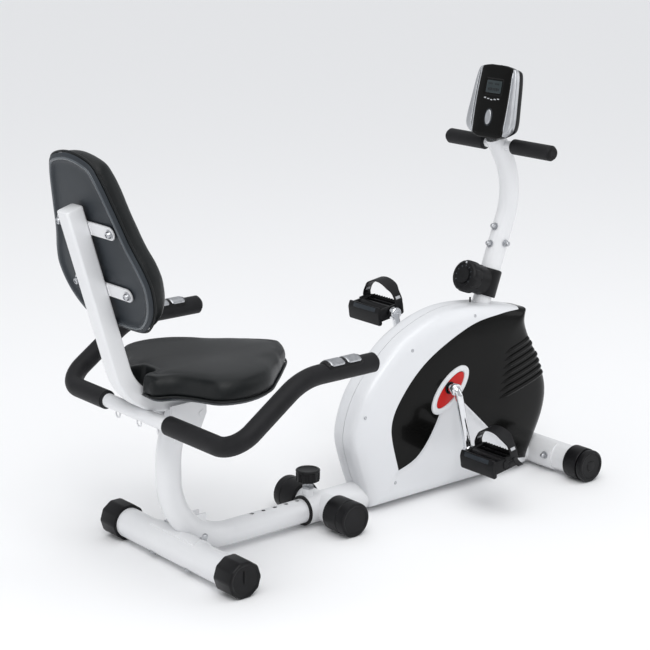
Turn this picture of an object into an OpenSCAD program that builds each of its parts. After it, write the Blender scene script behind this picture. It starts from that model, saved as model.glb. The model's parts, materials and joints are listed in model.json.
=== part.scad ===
// Compact magnetic recumbent exercise bike.
// +X points forwards to the console, +Y to the rider's left, +Z up.  The bike stands on Z = 0 and the
// origin is under the middle of its length.  Places along X are counted from the rear foot (X = 0 there)
// and moved by stand().

/* [Frame] */
// Outer radius of the main rail and of the three foot tubes
rail_r = 31.75; // [28:0.25:34]
// Radius of the foot caps, which is also the height of the foot and rail axes
cap_r = 37.5; // [36:0.5:42]
// Distance from the rear foot to the middle foot
mid_foot_x = 372; // [360:1:385]
// Distance from the rear foot to the front foot
front_foot_x = 1006; // [990:1:1020]
// Half length of the rear foot over its caps
rear_half = 228; // [200:1:260]
// Half length of the middle foot over its caps
mid_half = 117; // [100:1:140]
// Half length of the front foot over its caps
front_half = 197; // [180:1:230]
// Distance from the rear foot to the open rear end of the main rail
rail_mouth_x = 325; // [322:1:330]

/* [Seat frame] */
// Outer radius of the bent tube that slides in the rail
slide_r = 26; // [25:0.25:27]
// Bend radius of that tube behind the seat
slide_bend_r = 147; // [140:1:155]
// Distance between two seat positions
hole_pitch = 30; // [20:1:40]
// Seat positions in front of the rest position
holes_forward = 5; // [2:1:5]
// Seat positions behind the rest position
holes_back = 3; // [1:1:3]
// Width of the square back post
post_w = 38; // [35:1:40]
// Lean of the back post from upright
back_lean = 16.2; // [12:0.1:20]

/* [Cushions] */
// Underside of the seat pan
seat_z = 376; // [374:1:380]
// Thickness of the seat pad
seat_t = 54; // [40:1:60]
// Thickness of the back pad
back_t = 52; // [40:1:60]

/* [Handlebar] */
// Radius of the seat handlebar tube
bar_r = 14.3; // [12.5:0.1:16]
// Radius of the foam on the handlebar
foam_r = 19.5; // [18:0.5:22]
// Half width of the handlebar, to the middle of its tube
bar_half = 290.7; // [270:0.1:310]

/* [Drive] */
// Distance from the rear foot to the crank axle
crank_x = 690; // [685:1:695]
// Height of the crank axle
crank_z = 253; // [248:1:256]
// Pitch radius of the drive pulley
drive_r = 90; // [80:1:92]
// Pitch radius of the flywheel pulley
small_r = 18; // [16:1:20]
// Radius of the flywheel
flywheel_r = 80; // [70:1:82]
// Pitch of the pedals about their spindles, rear edge down
pedal_pitch = 8; // [0:1:30]

/* [Console] */
// Outer radius of the console post
cpost_r = 22.25; // [21.5:0.25:24]
// Forward lean of the post's lower part
cpost_lean = 20.5; // [18:0.5:23]
// Backward lean of the console face from upright
face_lean = 12; // [5:1:25]

/* [Hidden] */
$fn = 64;
// Distance from the rear foot to the middle of the whole length
mid_x = 399;
axis_z = cap_r;
rail_wall = 2;
rail_in = rail_r - rail_wall;
slide_in = slide_r - 2;
run_fit = 0.05;
skin = 3;
pin_x = 338;
pin_r = 5;
lean_post_x = -23;
back_bend_r = 111;
back_bend_z = 464;
bar_x = -71;
bar_z = 329;
bar_rise = 34.7;
wheel_x = 575;
wheel_z = 212;
belt_y = 36;
arm_x = 20;
arm_z = -139;
stub_r = 20.4;
stub_x = 826.8;
post_base = [846, 0, 436];
face_base = [837, 0, 782];
tbar_x = 884;
tbar_z = 763;
tbar_r = 11;
tbar_half = 161;
magnet_pivot = [591, 0, 302];

// ---------- outlines ----------

// One point of a Catmull-Rom curve between b and c
function curve_at(a, b, c, d, t) = 0.5 * (2 * b + (c - a) * t + (2 * a - 5 * b + 4 * c - d) * t * t
    + (3 * b - a - 3 * c + d) * t * t * t);

// Smooth open curve through the points p, with k steps between neighbours
function smooth(p, k) = [for (i = [0 : len(p) - 2]) for (j = [0 : k - 1])
    curve_at(p[max(i - 1, 0)], p[i], p[i + 1], p[min(i + 2, len(p) - 1)], j / k)];

// A half outline given for y >= 0, completed by its mirror image
function both_sides(p) = concat(p, [for (i = [len(p) - 1 : -1 : 0]) if (abs(p[i][1]) > 0.01) [p[i][0], -p[i][1]]]);

// Side view of the drive housing, as X and Z
housing_back = [[486, 14], [452, 100], [434, 178], [457, 256], [504, 316], [584, 379], [700, 418],
    [822, 415], [950, 387]];
housing_front = [[950, 387], [947, 357], [962, 318], [995, 260], [1020, 190], [1011, 125], [968, 40],
    [962, 14]];
housing = concat(smooth(housing_back, 4), smooth(housing_front, 3), [[962, 14]]);
housing_mid = [715, 215];
// Half width of the housing against the scale of its side view
housing_levels = [[1, 0], [1, 22], [0.975, 36], [0.9, 45], [0.76, 51], [0.5, 56]];

// Dark side panel of the housing, which runs off the housing's front edge
panel_top = [[1060, 398], [950, 388.5], [860, 390], [756, 379], [636, 329], [560, 262], [526, 190], [549, 90]];
panel_low = [[549, 90], [600, 112], [645, 165], [690, 253]];
panel_front = [[690, 253], [784, 164], [925, 35], [1060, 5]];
panel = concat(smooth(panel_top, 5), smooth(panel_low, 4), panel_front);

// Half outline of the seat, as X and half width, from its tail to its nose
seat_half = [[-98, 23], [-98, 70], [-60, 92], [-38, 128], [-14, 176], [40, 193], [105, 176],
    [160, 130], [215, 78], [258, 34], [276, 0]];
seat_outline = both_sides(concat([[-58, 0], [-58, 23]], smooth(seat_half, 4), [[276, 0]]));
seat_mid = [80, 0];

// Half outline of the back rest, as height along the post and half width
back_half = [[516, 0], [519, 80], [538, 118], [575, 148], [620, 160], [655, 153], [705, 130],
    [765, 110], [825, 88], [855, 64], [868, 0]];
back_plan = both_sides(concat(smooth(back_half, 4), [[868, 0]]));
back_outline = [for (p = back_plan) [600 + (p[0] - 600) / cos(back_lean), p[1]]];
back_mid = [650, 0];

// ---------- helpers ----------

// Moves a piece from its place counted from the rear foot to the bike's own frame
module stand() {
    translate([-mid_x, 0, 0]) children();
}

// Repeats a piece of one side on the other side
module pair() {
    children();
    mirror([0, 1, 0]) children();
}

// Bends a profile from +Z towards +X; a bent tube is a hair thinner than a straight one
module arc_run(bend_r, angle) {
    translate([bend_r, 0, 0]) mirror([1, 0, 0]) rotate([90, 0, 0])
        rotate_extrude(angle = angle) translate([bend_r, 0]) scale(0.994) children();
}

// Follows [straight run, bend radius, bend angle, turn of the bending plane], starting along +Z
module bend_run(steps, i = 0) {
    lap_0 = i > 0 ? 0.5 : 0;
    lap_1 = i < len(steps) - 1 ? 0.5 : 0;
    if (i < len(steps))
        rotate([0, 0, steps[i][3]]) {
            translate([0, 0, -lap_0]) linear_extrude(steps[i][0] + lap_0 + lap_1) children();
            if (steps[i][2] > 0)
                translate([0, 0, steps[i][0]]) {
                    arc_run(steps[i][1], steps[i][2]) children();
                    translate([steps[i][1] * (1 - cos(steps[i][2])), 0, steps[i][1] * sin(steps[i][2])])
                        rotate([0, steps[i][2], 0]) bend_run(steps, i + 1) children();
                }
        }
}

// Bent tube along the same kind of path
module tube_run(steps, outer, inner) {
    difference() {
        bend_run(steps) circle(outer);
        bend_run(steps) circle(inner);
    }
}

module ring(outer, inner) {
    difference() {
        circle(outer);
        circle(inner);
    }
}

// Round bar from a to b
module rod(a, b, r) {
    d = b - a;
    translate(a) rotate([0, acos(d[2] / norm(d)), atan2(d[1], d[0])]) cylinder(h = norm(d), r = r);
}

// Cylinder or tube along Y from y0 to y1
module y_tube(x, z, y0, y1, outer, inner = 0) {
    translate([x, y1, z]) rotate([90, 0, 0]) difference() {
        cylinder(h = y1 - y0, r = outer);
        if (inner > 0) translate([0, 0, -1]) cylinder(h = y1 - y0 + 2, r = inner);
    }
}

// Closed solid through scaled copies of an outline: levels are [scale, height]
module loft(outline, mid, levels) {
    n = len(outline);
    m = len(levels);
    points = [for (l = levels) for (p = outline)
        [mid[0] + (p[0] - mid[0]) * l[0], mid[1] + (p[1] - mid[1]) * l[0], l[1]]];
    sides = [for (i = [0 : m - 2]) for (j = [0 : n - 1])
        [i * n + j, i * n + (j + 1) % n, (i + 1) * n + (j + 1) % n, (i + 1) * n + j]];
    low = [for (j = [n - 1 : -1 : 0]) j];
    high = [for (j = [0 : n - 1]) (m - 1) * n + j];
    polyhedron(points, concat([low], sides, [high]), convexity = 6);
}

// Turns a loft's outline plane (X, Y) into the bike's side plane (X, Z), with its height along -Y
module side_view() {
    rotate([90, 0, 0]) children();
}

// Frame of the back post: X along its front, Z up its length, zero at the height of the bend
module on_back_post() {
    translate([lean_post_x, 0, back_bend_z]) rotate([0, -back_lean, 0]) children();
}

// Frame of the console post's lower part
module on_console_post() {
    translate(post_base) rotate([0, cpost_lean, 0]) children();
}

// Frame of the console: face in the plane X = 0, Z up the face
module on_console() {
    translate(face_base) rotate([0, face_lean, 0]) children();
}

// ---------- main frame ----------

module foot_tube(x, half) {
    y_tube(x, axis_z, -half + 6, half - 6, rail_r, rail_in);
}

// One round cap that closes a foot tube, from y0 out to y1
module round_cap(x, y0, y1) {
    difference() {
        y_tube(x, axis_z, y0, y1, cap_r);
        y_tube(x, axis_z, y0 - 1, y1 - 5, rail_r);
    }
}

module main_rail() stand() color("white") {
    difference() {
        union() {
            translate([rail_mouth_x, 0, axis_z]) rotate([0, 90, 0])
                linear_extrude(front_foot_x - rail_mouth_x) ring(rail_r, rail_in);
            translate([pin_x, 0, axis_z + rail_in]) cylinder(h = 18, r = 11.5);
        }
        y_tube(front_foot_x, axis_z, -60, 60, rail_r + 3.5);
        translate([pin_x, 0, axis_z]) cylinder(h = 80, r = pin_r + 1);
    }
    difference() {
        y_tube(front_foot_x, axis_z, -100, 100, rail_r + 3.5, rail_r);
        translate([front_foot_x - 12, -110, 0]) cube([80, 220, 100]);
        for (y = [-85, 85]) translate([front_foot_x - 60, y, axis_z + 6]) rotate([0, 90, 0])
            cylinder(h = 60, r = 4.2);
    }
}

module pin_nut() stand() color("silver") {
    translate([pin_x, 0, axis_z + rail_in + 18]) difference() {
        cylinder(h = 5, r = 13, $fn = 6);
        translate([0, 0, -1]) cylinder(h = 7, r = pin_r + 0.1);
    }
}

module slide_bushing() stand() color([0.1, 0.1, 0.1]) {
    translate([rail_mouth_x - 4, 0, axis_z]) rotate([0, 90, 0]) {
        linear_extrude(4) ring(rail_r + 0.8, slide_r + run_fit);
        translate([0, 0, 4]) linear_extrude(7) ring(rail_in, slide_r + run_fit);
    }
    translate([440, 0, axis_z]) rotate([0, 90, 0]) linear_extrude(20) ring(rail_in, slide_r + run_fit);
}

module mid_foot_tube() stand() color("white") {
    pair() difference() {
        y_tube(mid_foot_x, axis_z, 12, mid_half - 6, rail_r - 2, rail_r - 4);
        translate([mid_foot_x - 60, 0, axis_z]) rotate([0, 90, 0]) cylinder(h = 120, r = rail_r);
    }
}

module mid_foot_caps() stand() color([0.1, 0.1, 0.1]) {
    pair() difference() {
        y_tube(mid_foot_x, axis_z, mid_half - 66, mid_half, cap_r);
        y_tube(mid_foot_x, axis_z, 0, mid_half - 6, rail_r - 2);
    }
}

module front_foot_tube() stand() color("white") {
    difference() {
        foot_tube(front_foot_x, front_half - 17);
        for (y = [-85, 85]) translate([front_foot_x - 60, y, axis_z + 6]) rotate([0, 90, 0])
            cylinder(h = 120, r = 4.2);
    }
}

module front_foot_caps() stand() color([0.1, 0.1, 0.1]) {
    pair() union() {
        round_cap(front_foot_x, front_half - 56, front_half - 17);
        y_tube(front_foot_x, axis_z, front_half - 18, front_half - 4, 8);
    }
}

module front_roller_left() stand() color([0.1, 0.1, 0.1]) {
    y_tube(front_foot_x, axis_z, front_half - 16, front_half, cap_r - 1, 8 + run_fit);
}

module front_roller_right() stand() color([0.1, 0.1, 0.1]) {
    y_tube(front_foot_x, axis_z, -front_half, 16 - front_half, cap_r - 1, 8 + run_fit);
}

// Bolt along +Z with a washer and a domed nut, its washer face at Z = 0
module domed_bolt(length) {
    cylinder(h = 1.6, r = 8.5);
    translate([0, 0, 1.6]) cylinder(h = 6, r = 6.5, $fn = 6);
    translate([0, 0, 7.6]) intersection() {
        sphere(5.8);
        translate([-10, -10, -1]) cube([20, 20, 12]);
    }
    translate([0, 0, -length]) cylinder(h = length + 1, r = 4);
}

module frame_bolts() stand() color("silver") {
    for (y = [-85, 85]) translate([front_foot_x - 35.5, y, axis_z + 6]) rotate([0, -90, 0]) domed_bolt(66);
    on_console_post() {
        for (z = [104, 144]) translate([-cpost_r - 0.2, 0, z]) rotate([0, -90, 0]) domed_bolt(16);
        translate([0, -cpost_r - 0.2, 114]) rotate([90, 0, 0]) domed_bolt(16);
    }
}

module post_stub() stand() color("white") {
    difference() {
        translate([stub_x, 0, axis_z + 20])
            tube_run([[300, 150, cpost_lean, 0], [170, 1, 0, 0]], stub_r, stub_r - 2);
        translate([stub_x - 60, 0, axis_z]) rotate([0, 90, 0]) cylinder(h = 120, r = rail_r);
        on_console_post() {
            for (z = [104, 144]) translate([-40, 0, z]) rotate([0, 90, 0]) cylinder(h = 30, r = 4.3);
            translate([0, -10, 114]) rotate([90, 0, 0]) cylinder(h = 30, r = 4.3);
        }
    }
}

// One side plate of the drive bracket, in the side plane
module bracket_plate() {
    difference() {
        linear_extrude(3) difference() {
            union() {
                hull() {
                    translate([crank_x, crank_z]) circle(34, $fn = 32);
                    translate([crank_x - 30, axis_z + 29]) square([90, 4]);
                }
                hull() {
                    translate([wheel_x, wheel_z]) circle(20, $fn = 32);
                    translate([crank_x - 60, axis_z + 29]) square([60, 4]);
                }
            }
        }
        translate([crank_x, crank_z, -1]) cylinder(h = 5, r = 24);
        translate([wheel_x, wheel_z, -1]) cylinder(h = 5, r = 6);
    }
}

module drive_bracket() stand() color([0.2, 0.2, 0.22]) {
    y_tube(crank_x, crank_z, -28, 28, 24, 20);
    difference() {
        union() {
            translate([0, 29, 0]) side_view() bracket_plate();
            translate([0, -26, 0]) side_view() bracket_plate();
            y_tube(magnet_pivot[0], magnet_pivot[2], -29, 29, 5);
            translate([magnet_pivot[0] - 7, 26, wheel_z]) cube([34, 3, 96]);
            translate([magnet_pivot[0] - 7, -29, wheel_z]) cube([34, 3, 96]);
        }
        translate([400, 0, axis_z]) rotate([0, 90, 0]) cylinder(h = 500, r = rail_r);
        y_tube(crank_x, crank_z, -40, 40, 23);
        y_tube(wheel_x, wheel_z, -40, 40, 6);
    }
}

// ---------- housing ----------

// Thin half of the housing on the rider's right side, without openings
module half_skin() {
    n = len(housing);
    outer = [for (i = [len(housing_levels) - 1 : -1 : 0]) housing_levels[i]];
    inner = [for (l = housing_levels) [l[0] - 0.011, max(l[1] - skin, 0)]];
    levels = concat(outer, inner);
    m = len(levels);
    points = [for (l = levels) for (p = housing)
        [housing_mid[0] + (p[0] - housing_mid[0]) * l[0], housing_mid[1] + (p[1] - housing_mid[1]) * l[0], l[1]]];
    sides = [for (i = [0 : m - 2]) for (j = [0 : n - 1])
        [i * n + j, (i + 1) * n + j, (i + 1) * n + (j + 1) % n, i * n + (j + 1) % n]];
    top = [for (j = [0 : n - 1]) j];
    under = [for (j = [n - 1 : -1 : 0]) (m - 1) * n + j];
    side_view() polyhedron(points, concat([top], sides, [under]), convexity = 8);
}

module housing_openings() {
    translate([400, 0, axis_z]) rotate([0, 90, 0]) cylinder(h = 700, r = rail_r + 1.5);
    pair() translate([0, -40, 0]) side_view() linear_extrude(40) trim_oval(66.4, 32.4);
    translate([stub_x + 8, 0, 380]) rotate([0, cpost_lean, 0]) cylinder(h = 80, r = 33);
    translate([803, 0, 366]) cylinder(h = 80, r = 3);
}

module panel_prism() {
    translate([0, 80, 0]) side_view() linear_extrude(160) polygon(panel);
}

module white_half() {
    difference() {
        half_skin();
        panel_prism();
        housing_openings();
    }
}

module dark_half() {
    difference() {
        intersection() {
            half_skin();
            panel_prism();
        }
        housing_openings();
    }
}

module shroud_left() stand() color("white") mirror([0, 1, 0]) white_half();

module shroud_right() stand() color("white") white_half();

module inset_left() stand() color([0.08, 0.08, 0.09]) mirror([0, 1, 0]) dark_half();

module inset_right() stand() color([0.08, 0.08, 0.09]) dark_half();

// Oval about the crank, in the side view, its long axis leaning forwards
module trim_oval(a, b) {
    translate([crank_x, crank_z]) rotate(41)
        polygon([for (t = [0 : 9 : 351]) [a * cos(t), b * sin(t)]]);
}

module crank_bezels() stand() color("white") {
    pair() translate([0, -50, 0]) side_view() linear_extrude(10.5) difference() {
        trim_oval(66, 32);
        trim_oval(50.5, 20.5);
    }
}

module crank_discs() stand() color([0.78, 0.12, 0.1]) {
    pair() translate([0, -50, 0]) side_view() linear_extrude(9) difference() {
        trim_oval(50, 20);
        translate([crank_x, crank_z]) circle(14);
    }
}

module shroud_screws() stand() color("silver") {
    spots = [[462, 225], [590, 352], [776, 398], [545, 62]];
    pair() for (p = spots) y_tube(p[0], p[1], -46, -34, 4);
}

// ---------- drive ----------

module crank_bearings() stand() color("silver") {
    pair() y_tube(crank_x, crank_z, 16, 28, 20, 10 + run_fit);
}

module flywheel_axle() stand() color("silver") {
    y_tube(wheel_x, wheel_z, -38, 50, 6);
    y_tube(wheel_x, wheel_z, -34.5, -29, 11);
    y_tube(wheel_x, wheel_z, 44, 49, 11);
}

module flywheel() stand() color([0.35, 0.35, 0.37]) {
    difference() {
        union() {
            y_tube(wheel_x, wheel_z, -24, -2, flywheel_r, flywheel_r - 20);
            y_tube(wheel_x, wheel_z, -17, -9, flywheel_r - 19);
            y_tube(wheel_x, wheel_z, -25.5, 25.5, 16);
        }
        y_tube(wheel_x, wheel_z, -30, 30, 6 + run_fit);
    }
}

module flywheel_pulley() stand() color([0.35, 0.35, 0.37]) {
    y_tube(wheel_x, wheel_z, 31, 41, small_r - 1, 6 + run_fit);
    for (y = [29.5, 41]) y_tube(wheel_x, wheel_z, y, y + 1.5, small_r + 2.5, 6 + run_fit);
}

module drive_pulley() stand() color([0.15, 0.15, 0.16]) {
    y_tube(crank_x, crank_z, 31, 41, drive_r - 1, drive_r - 12);
    y_tube(crank_x, crank_z, 34, 38, drive_r - 11.5, 15);
    y_tube(crank_x, crank_z, 30, 42, 16, 10);
}

// Flat region inside a loop round two pulleys of radii a and b
module belt_region(a, b) {
    d = [wheel_x - crank_x, wheel_z - crank_z];
    base = atan2(d[1], d[0]);
    open = acos((a - b) / norm(d));
    translate([crank_x, crank_z]) rotate(base) {
        circle(a);
        translate([norm(d), 0]) circle(b);
        polygon([a * [cos(open), sin(open)], [norm(d), 0] + b * [cos(open), sin(open)],
            [norm(d), 0] + b * [cos(open), -sin(open)], a * [cos(open), -sin(open)]]);
    }
}

module drive_belt() stand() color([0.08, 0.08, 0.08]) {
    translate([0, 40, 0]) side_view() linear_extrude(8) difference() {
        belt_region(drive_r + 1.8, small_r + 1.8);
        belt_region(drive_r - 0.7, small_r - 0.7);
    }
}

module magnet_arm() stand() color([0.3, 0.3, 0.32]) {
    translate([wheel_x, -2, wheel_z]) rotate([90, 0, 0]) rotate([0, 0, 84])
        rotate_extrude(angle = 80) translate([flywheel_r + 3.5, 0]) square([6, 22]);
    difference() {
        translate([magnet_pivot[0] - 16, -23, magnet_pivot[2] - 9]) cube([22, 20, 15]);
        y_tube(magnet_pivot[0], magnet_pivot[2], -30, 30, 5 + run_fit);
        y_tube(wheel_x, wheel_z, -30, 30, flywheel_r + 5);
    }
}

module tension_cable() stand() color([0.08, 0.08, 0.08]) {
    translate([803, 0, 428]) rotate([180, 0, 0]) mirror([1, 0, 0])
        bend_run([[55, 60, 90, 0], [130, 1, 0, 0]]) circle(2);
}

module crank() stand() color("silver") {
    for (s = [-1, 1]) {
        rod([crank_x, s * 20, crank_z], [crank_x, s * 78, crank_z], 10);
        translate([crank_x, s * 78, crank_z]) sphere(10);
        rod([crank_x, s * 78, crank_z], [crank_x - s * arm_x, s * 101, crank_z - s * arm_z], 8.5);
        y_tube(crank_x - s * arm_x, crank_z - s * arm_z, s * 102 - 7.5, s * 102 + 7.5, 13.5);
    }
    rod([crank_x, -21, crank_z], [crank_x, 21, crank_z], 10);
}

module pedal_spindles() stand() color("silver") {
    for (s = [-1, 1])
        y_tube(crank_x - s * arm_x, crank_z - s * arm_z, min(s * 109.5, s * 216), max(s * 109.5, s * 216), 6);
}

// Frame of a pedal: spindle along Y at the origin, tread upwards
module at_pedal(s) {
    translate([crank_x - s * arm_x, 0, crank_z - s * arm_z]) rotate([0, -pedal_pitch, 0]) children();
}

module pedal_body(y0, y1) {
    difference() {
        union() {
            translate([-36, y0, -14]) cube([72, 8, 28]);
            translate([-36, y1 - 8, -14]) cube([72, 8, 28]);
            translate([-38, y0 + 1, -23]) cube([9, y1 - y0 - 2, 42]);
            translate([29, y0 + 1, -13]) cube([9, y1 - y0 - 2, 26]);
            y_tube(0, 0, y0, y1, 13);
            translate([-34, y0 + 4, -9]) cube([68, y1 - y0 - 8, 4]);
        }
        y_tube(0, 0, y0 - 2, y1 + 2, 6 + run_fit);
    }
}

// Strap over the foot, from one side of the pedal to the other
module strap_loop(y0, y1) {
    mid = (y0 + y1) / 2;
    half = (y1 - y0) / 2 + 3;
    // arch that meets both legs at height 20 and rises to 62
    strap_r = (half * half + 42 * 42) / 84;
    strap_low = 62 - strap_r;
    translate([8, mid, 0]) {
        rotate([90, 0, 90]) linear_extrude(28) difference() {
            union() {
                translate([-half, 6.6]) square([2 * half, 13.4]);
                difference() {
                    translate([0, strap_low]) circle(strap_r);
                    translate([-100, -180]) square([200, 200]);
                }
            }
            translate([-half + 2.6, 0]) square([2 * half - 5.2, 20.5]);
            translate([0, strap_low]) circle(strap_r - 2.6);
        }
    }
}

module pedal_left() stand() color([0.08, 0.08, 0.08]) at_pedal(1) pedal_body(113, 219);

module pedal_right() stand() color([0.08, 0.08, 0.08]) at_pedal(-1) pedal_body(-219, -113);

module strap_left() stand() color([0.08, 0.08, 0.08]) at_pedal(1) strap_loop(113, 219);

module strap_right() stand() color([0.08, 0.08, 0.08]) at_pedal(-1) strap_loop(-219, -113);

// ---------- console ----------

module console_post() stand() color("white") {
    difference() {
        on_console_post()
            tube_run([[172, 165, cpost_lean + 30, 180], [52, 1, 0, 0]], cpost_r, stub_r + 0.1);
        y_tube(tbar_x, tbar_z, -80, 80, tbar_r);
        on_console_post() {
            for (z = [104, 144]) translate([-40, 0, z]) rotate([0, 90, 0]) cylinder(h = 30, r = 4.3);
            translate([0, -10, 114]) rotate([90, 0, 0]) cylinder(h = 30, r = 4.3);
        }
    }
}

module t_bar() stand() color("white") {
    y_tube(tbar_x, tbar_z, 6 - tbar_half, tbar_half - 6, tbar_r, tbar_r - 1.5);
}

module t_bar_grips() stand() color([0.1, 0.1, 0.1]) {
    pair() difference() {
        y_tube(tbar_x, tbar_z, 40, tbar_half, 17);
        y_tube(tbar_x, tbar_z, 30, tbar_half - 6, tbar_r);
    }
}

module tension_housing() stand() color([0.1, 0.1, 0.1]) {
    on_console_post() difference() {
        union() {
            translate([0, 0, -10]) cylinder(h = 62, r = cpost_r + 5);
            translate([0, 0, 20]) rotate([0, -90, 0]) cylinder(h = 50, r = 32);
        }
        translate([0, 0, -30]) cylinder(h = 120, r = cpost_r);
        translate([6, -60, -30]) rotate([0, 0, -18]) cube([60, 120, 120]);
        translate([-60, 0, 20]) rotate([0, 90, 0]) cylinder(h = 30, r = 5 + run_fit);
        translate([-80, -40, -60]) cube([160, 80, 42]);
    }
}

module tension_knob() stand() color([0.1, 0.1, 0.1]) {
    on_console_post() translate([-50.3, 0, 20]) rotate([0, -90, 0]) {
        cylinder(h = 22, r = 36);
        translate([0, 0, 22]) cylinder(h = 6, r1 = 36, r2 = 31);
        translate([0, 0, 28]) cylinder(h = 3, r = 18);
        translate([0, 0, -15]) cylinder(h = 16, r = 5);
    }
}

// Half outline of the console seen from the rider, as height up the face and half width
console_half = [[0, 26], [14, 60], [32, 71], [75, 68], [145, 58], [158, 40], [163, 0]];
console_outline = both_sides(concat([[0, 0]], smooth(console_half, 4), [[163, 0]]));

module console_prism(x0, x1, f) {
    translate([x0, 0, 0]) rotate([0, -90, 0]) mirror([0, 0, 1]) linear_extrude(x1 - x0)
        translate([80, 0]) scale(f) translate([-80, 0]) polygon(console_outline);
}

module console_back() stand() color([0.1, 0.1, 0.1]) {
    difference() {
        on_console() difference() {
            union() {
                console_prism(14, 26, 1);
                console_prism(26, 38, 0.86);
            }
            console_prism(10, 23, 0.95);
            console_prism(22, 35, 0.8);
        }
        on_console_post() bend_run([[172, 165, cpost_lean + 30, 180], [52, 1, 0, 0]]) circle(cpost_r + 0.1);
    }
}

// Upright rounded key of radius r, its thickness h along Z
module key_shape(h, r) {
    linear_extrude(h) {
        translate([-7, 0]) circle(r);
        translate([7, 0]) circle(r);
        translate([-7, -r]) square([14, 2 * r]);
    }
}

module console_face() stand() color([0.03, 0.03, 0.03]) {
    on_console() difference() {
        intersection() {
            console_prism(0, 13.9, 0.985);
            translate([-5, -50, -5]) cube([40, 100, 180]);
        }
        console_prism(4, 20, 0.9);
        translate([-10, 0, 46]) rotate([0, 90, 0]) key_shape(40, 12 + run_fit);
    }
}

module console_cheeks() stand() color("silver") {
    on_console() difference() {
        console_prism(3, 13.9, 1);
        translate([-5, -50.1, -5]) cube([40, 100.2, 180]);
        console_prism(6, 20, 0.95);
    }
}

module mode_button() stand() color("silver") {
    on_console() translate([-3, 0, 46]) rotate([0, 90, 0]) key_shape(12, 12);
}

// ---------- seat adjuster ----------

module pin_knob() stand() color([0.1, 0.1, 0.1]) {
    translate([pin_x, 0, axis_z + rail_in + 34]) difference() {
        union() {
            cylinder(h = 22, r = 24);
            translate([0, 0, 22]) cylinder(h = 4, r1 = 24, r2 = 20);
            for (a = [0 : 30 : 330]) rotate([0, 0, a]) translate([24, 0, 0]) cylinder(h = 22, r = 3.5);
        }
        translate([0, 0, -1]) cylinder(h = 12, r = pin_r);
    }
}

module seat_pin() stand() color("silver") {
    translate([pin_x, 0, axis_z + slide_r + 0.6]) cylinder(h = 18.2 + rail_in - slide_r + 26, r = pin_r);
}

// ---------- seat frame ----------

slide_front_x = 560;
slide_low_x = 129;

module slide_path(r) {
    translate([slide_front_x, 0, axis_z]) rotate([0, -90, 0])
        bend_run([[slide_front_x - slide_low_x, slide_bend_r, 90, 0], [30, 200, 22, 0], [70, 1, 0, 0]])
            circle(r);
}

module slide_tube() stand() color("white") {
    difference() {
        slide_path(slide_r);
        slide_path(slide_in);
        translate([-60, -60, seat_z - 4 - post_w]) cube([160, 120, 100]);
        y_tube(0, axis_z, -60, 60, rail_r + 0.05);
        for (i = [-holes_forward : holes_back]) translate([pin_x + i * hole_pitch, 0, axis_z])
            cylinder(h = 60, r = pin_r + 0.2);
    }
    difference() {
        union() {
            y_tube(0, axis_z, -75, 75, rail_r + 3.5);
            for (y = [-14, 10]) translate([0, y, axis_z]) cube([62, 4, 62]);
        }
        translate([-60, -80, -50]) cube([150, 160, axis_z + 42]);
        translate([-60, -80, 0]) cube([46, 160, 120]);
        slide_path(slide_r - 1);
        y_tube(0, axis_z, -90, 90, rail_r);
        for (y = [-62, 62]) translate([0, y, axis_z]) rotate([0, 35, 0]) cylinder(h = 60, r = 4.2);
    }
}

module rear_foot_tube() stand() color("white") {
    difference() {
        foot_tube(0, rear_half);
        for (y = [-62, 62]) translate([0, y, axis_z]) rotate([0, 35, 0]) translate([0, 0, -60])
            cylinder(h = 120, r = 4.2);
    }
}

module rear_cap(y0, y1, open0, open1) {
    difference() {
        translate([0, y1, axis_z]) rotate([90, 0, 0]) cylinder(h = y1 - y0, r = cap_r / cos(18), $fn = 10);
        y_tube(0, axis_z, open0, open1, rail_r + run_fit);
    }
}

module rear_cap_left() stand() color([0.1, 0.1, 0.1]) {
    rear_cap(rear_half - 54, rear_half, rear_half - 60, rear_half - 5.9);
}

module rear_cap_right() stand() color([0.1, 0.1, 0.1]) {
    rear_cap(-rear_half, 54 - rear_half, 5.9 - rear_half, 60 - rear_half);
}

module rear_bolts() stand() color("silver") {
    for (y = [-62, 62]) translate([0, y, axis_z]) rotate([0, 35, 0]) {
        translate([0, 0, rail_r + 3.5]) domed_bolt(68);
        translate([0, 0, -rail_r - 3]) cylinder(h = 3, r = 8);
    }
}

// Side plates that carry the post and the cushion rails on the bent tube
module seat_bracket() stand() color("white") {
    tube_z = seat_z - 4 - post_w;
    for (y = [-30.1, 26.1]) difference() {
        translate([0, y + 4, 0]) side_view() linear_extrude(4)
            polygon([[-22, 272], [34, 272], [56, 318], [56, tube_z + 12], [-30, tube_z + 12]]);
        translate([44, 0, 318]) rotate([90, 0, 0]) cylinder(h = 100, r = 7, center = true);
    }
    y_tube(44, 318, -31, 31, 6.9);
    for (x = [6, 140]) difference() {
        translate([x, -95, seat_z - 4]) cube([30, 190, 3.9]);
        for (y = [-80, 80]) translate([x + 15, y, seat_z - 6]) cylinder(h = 8, r = 4.1);
    }
}

// Heights of the two cross straps up the back post
strap_rise = [167, 294];

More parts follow.
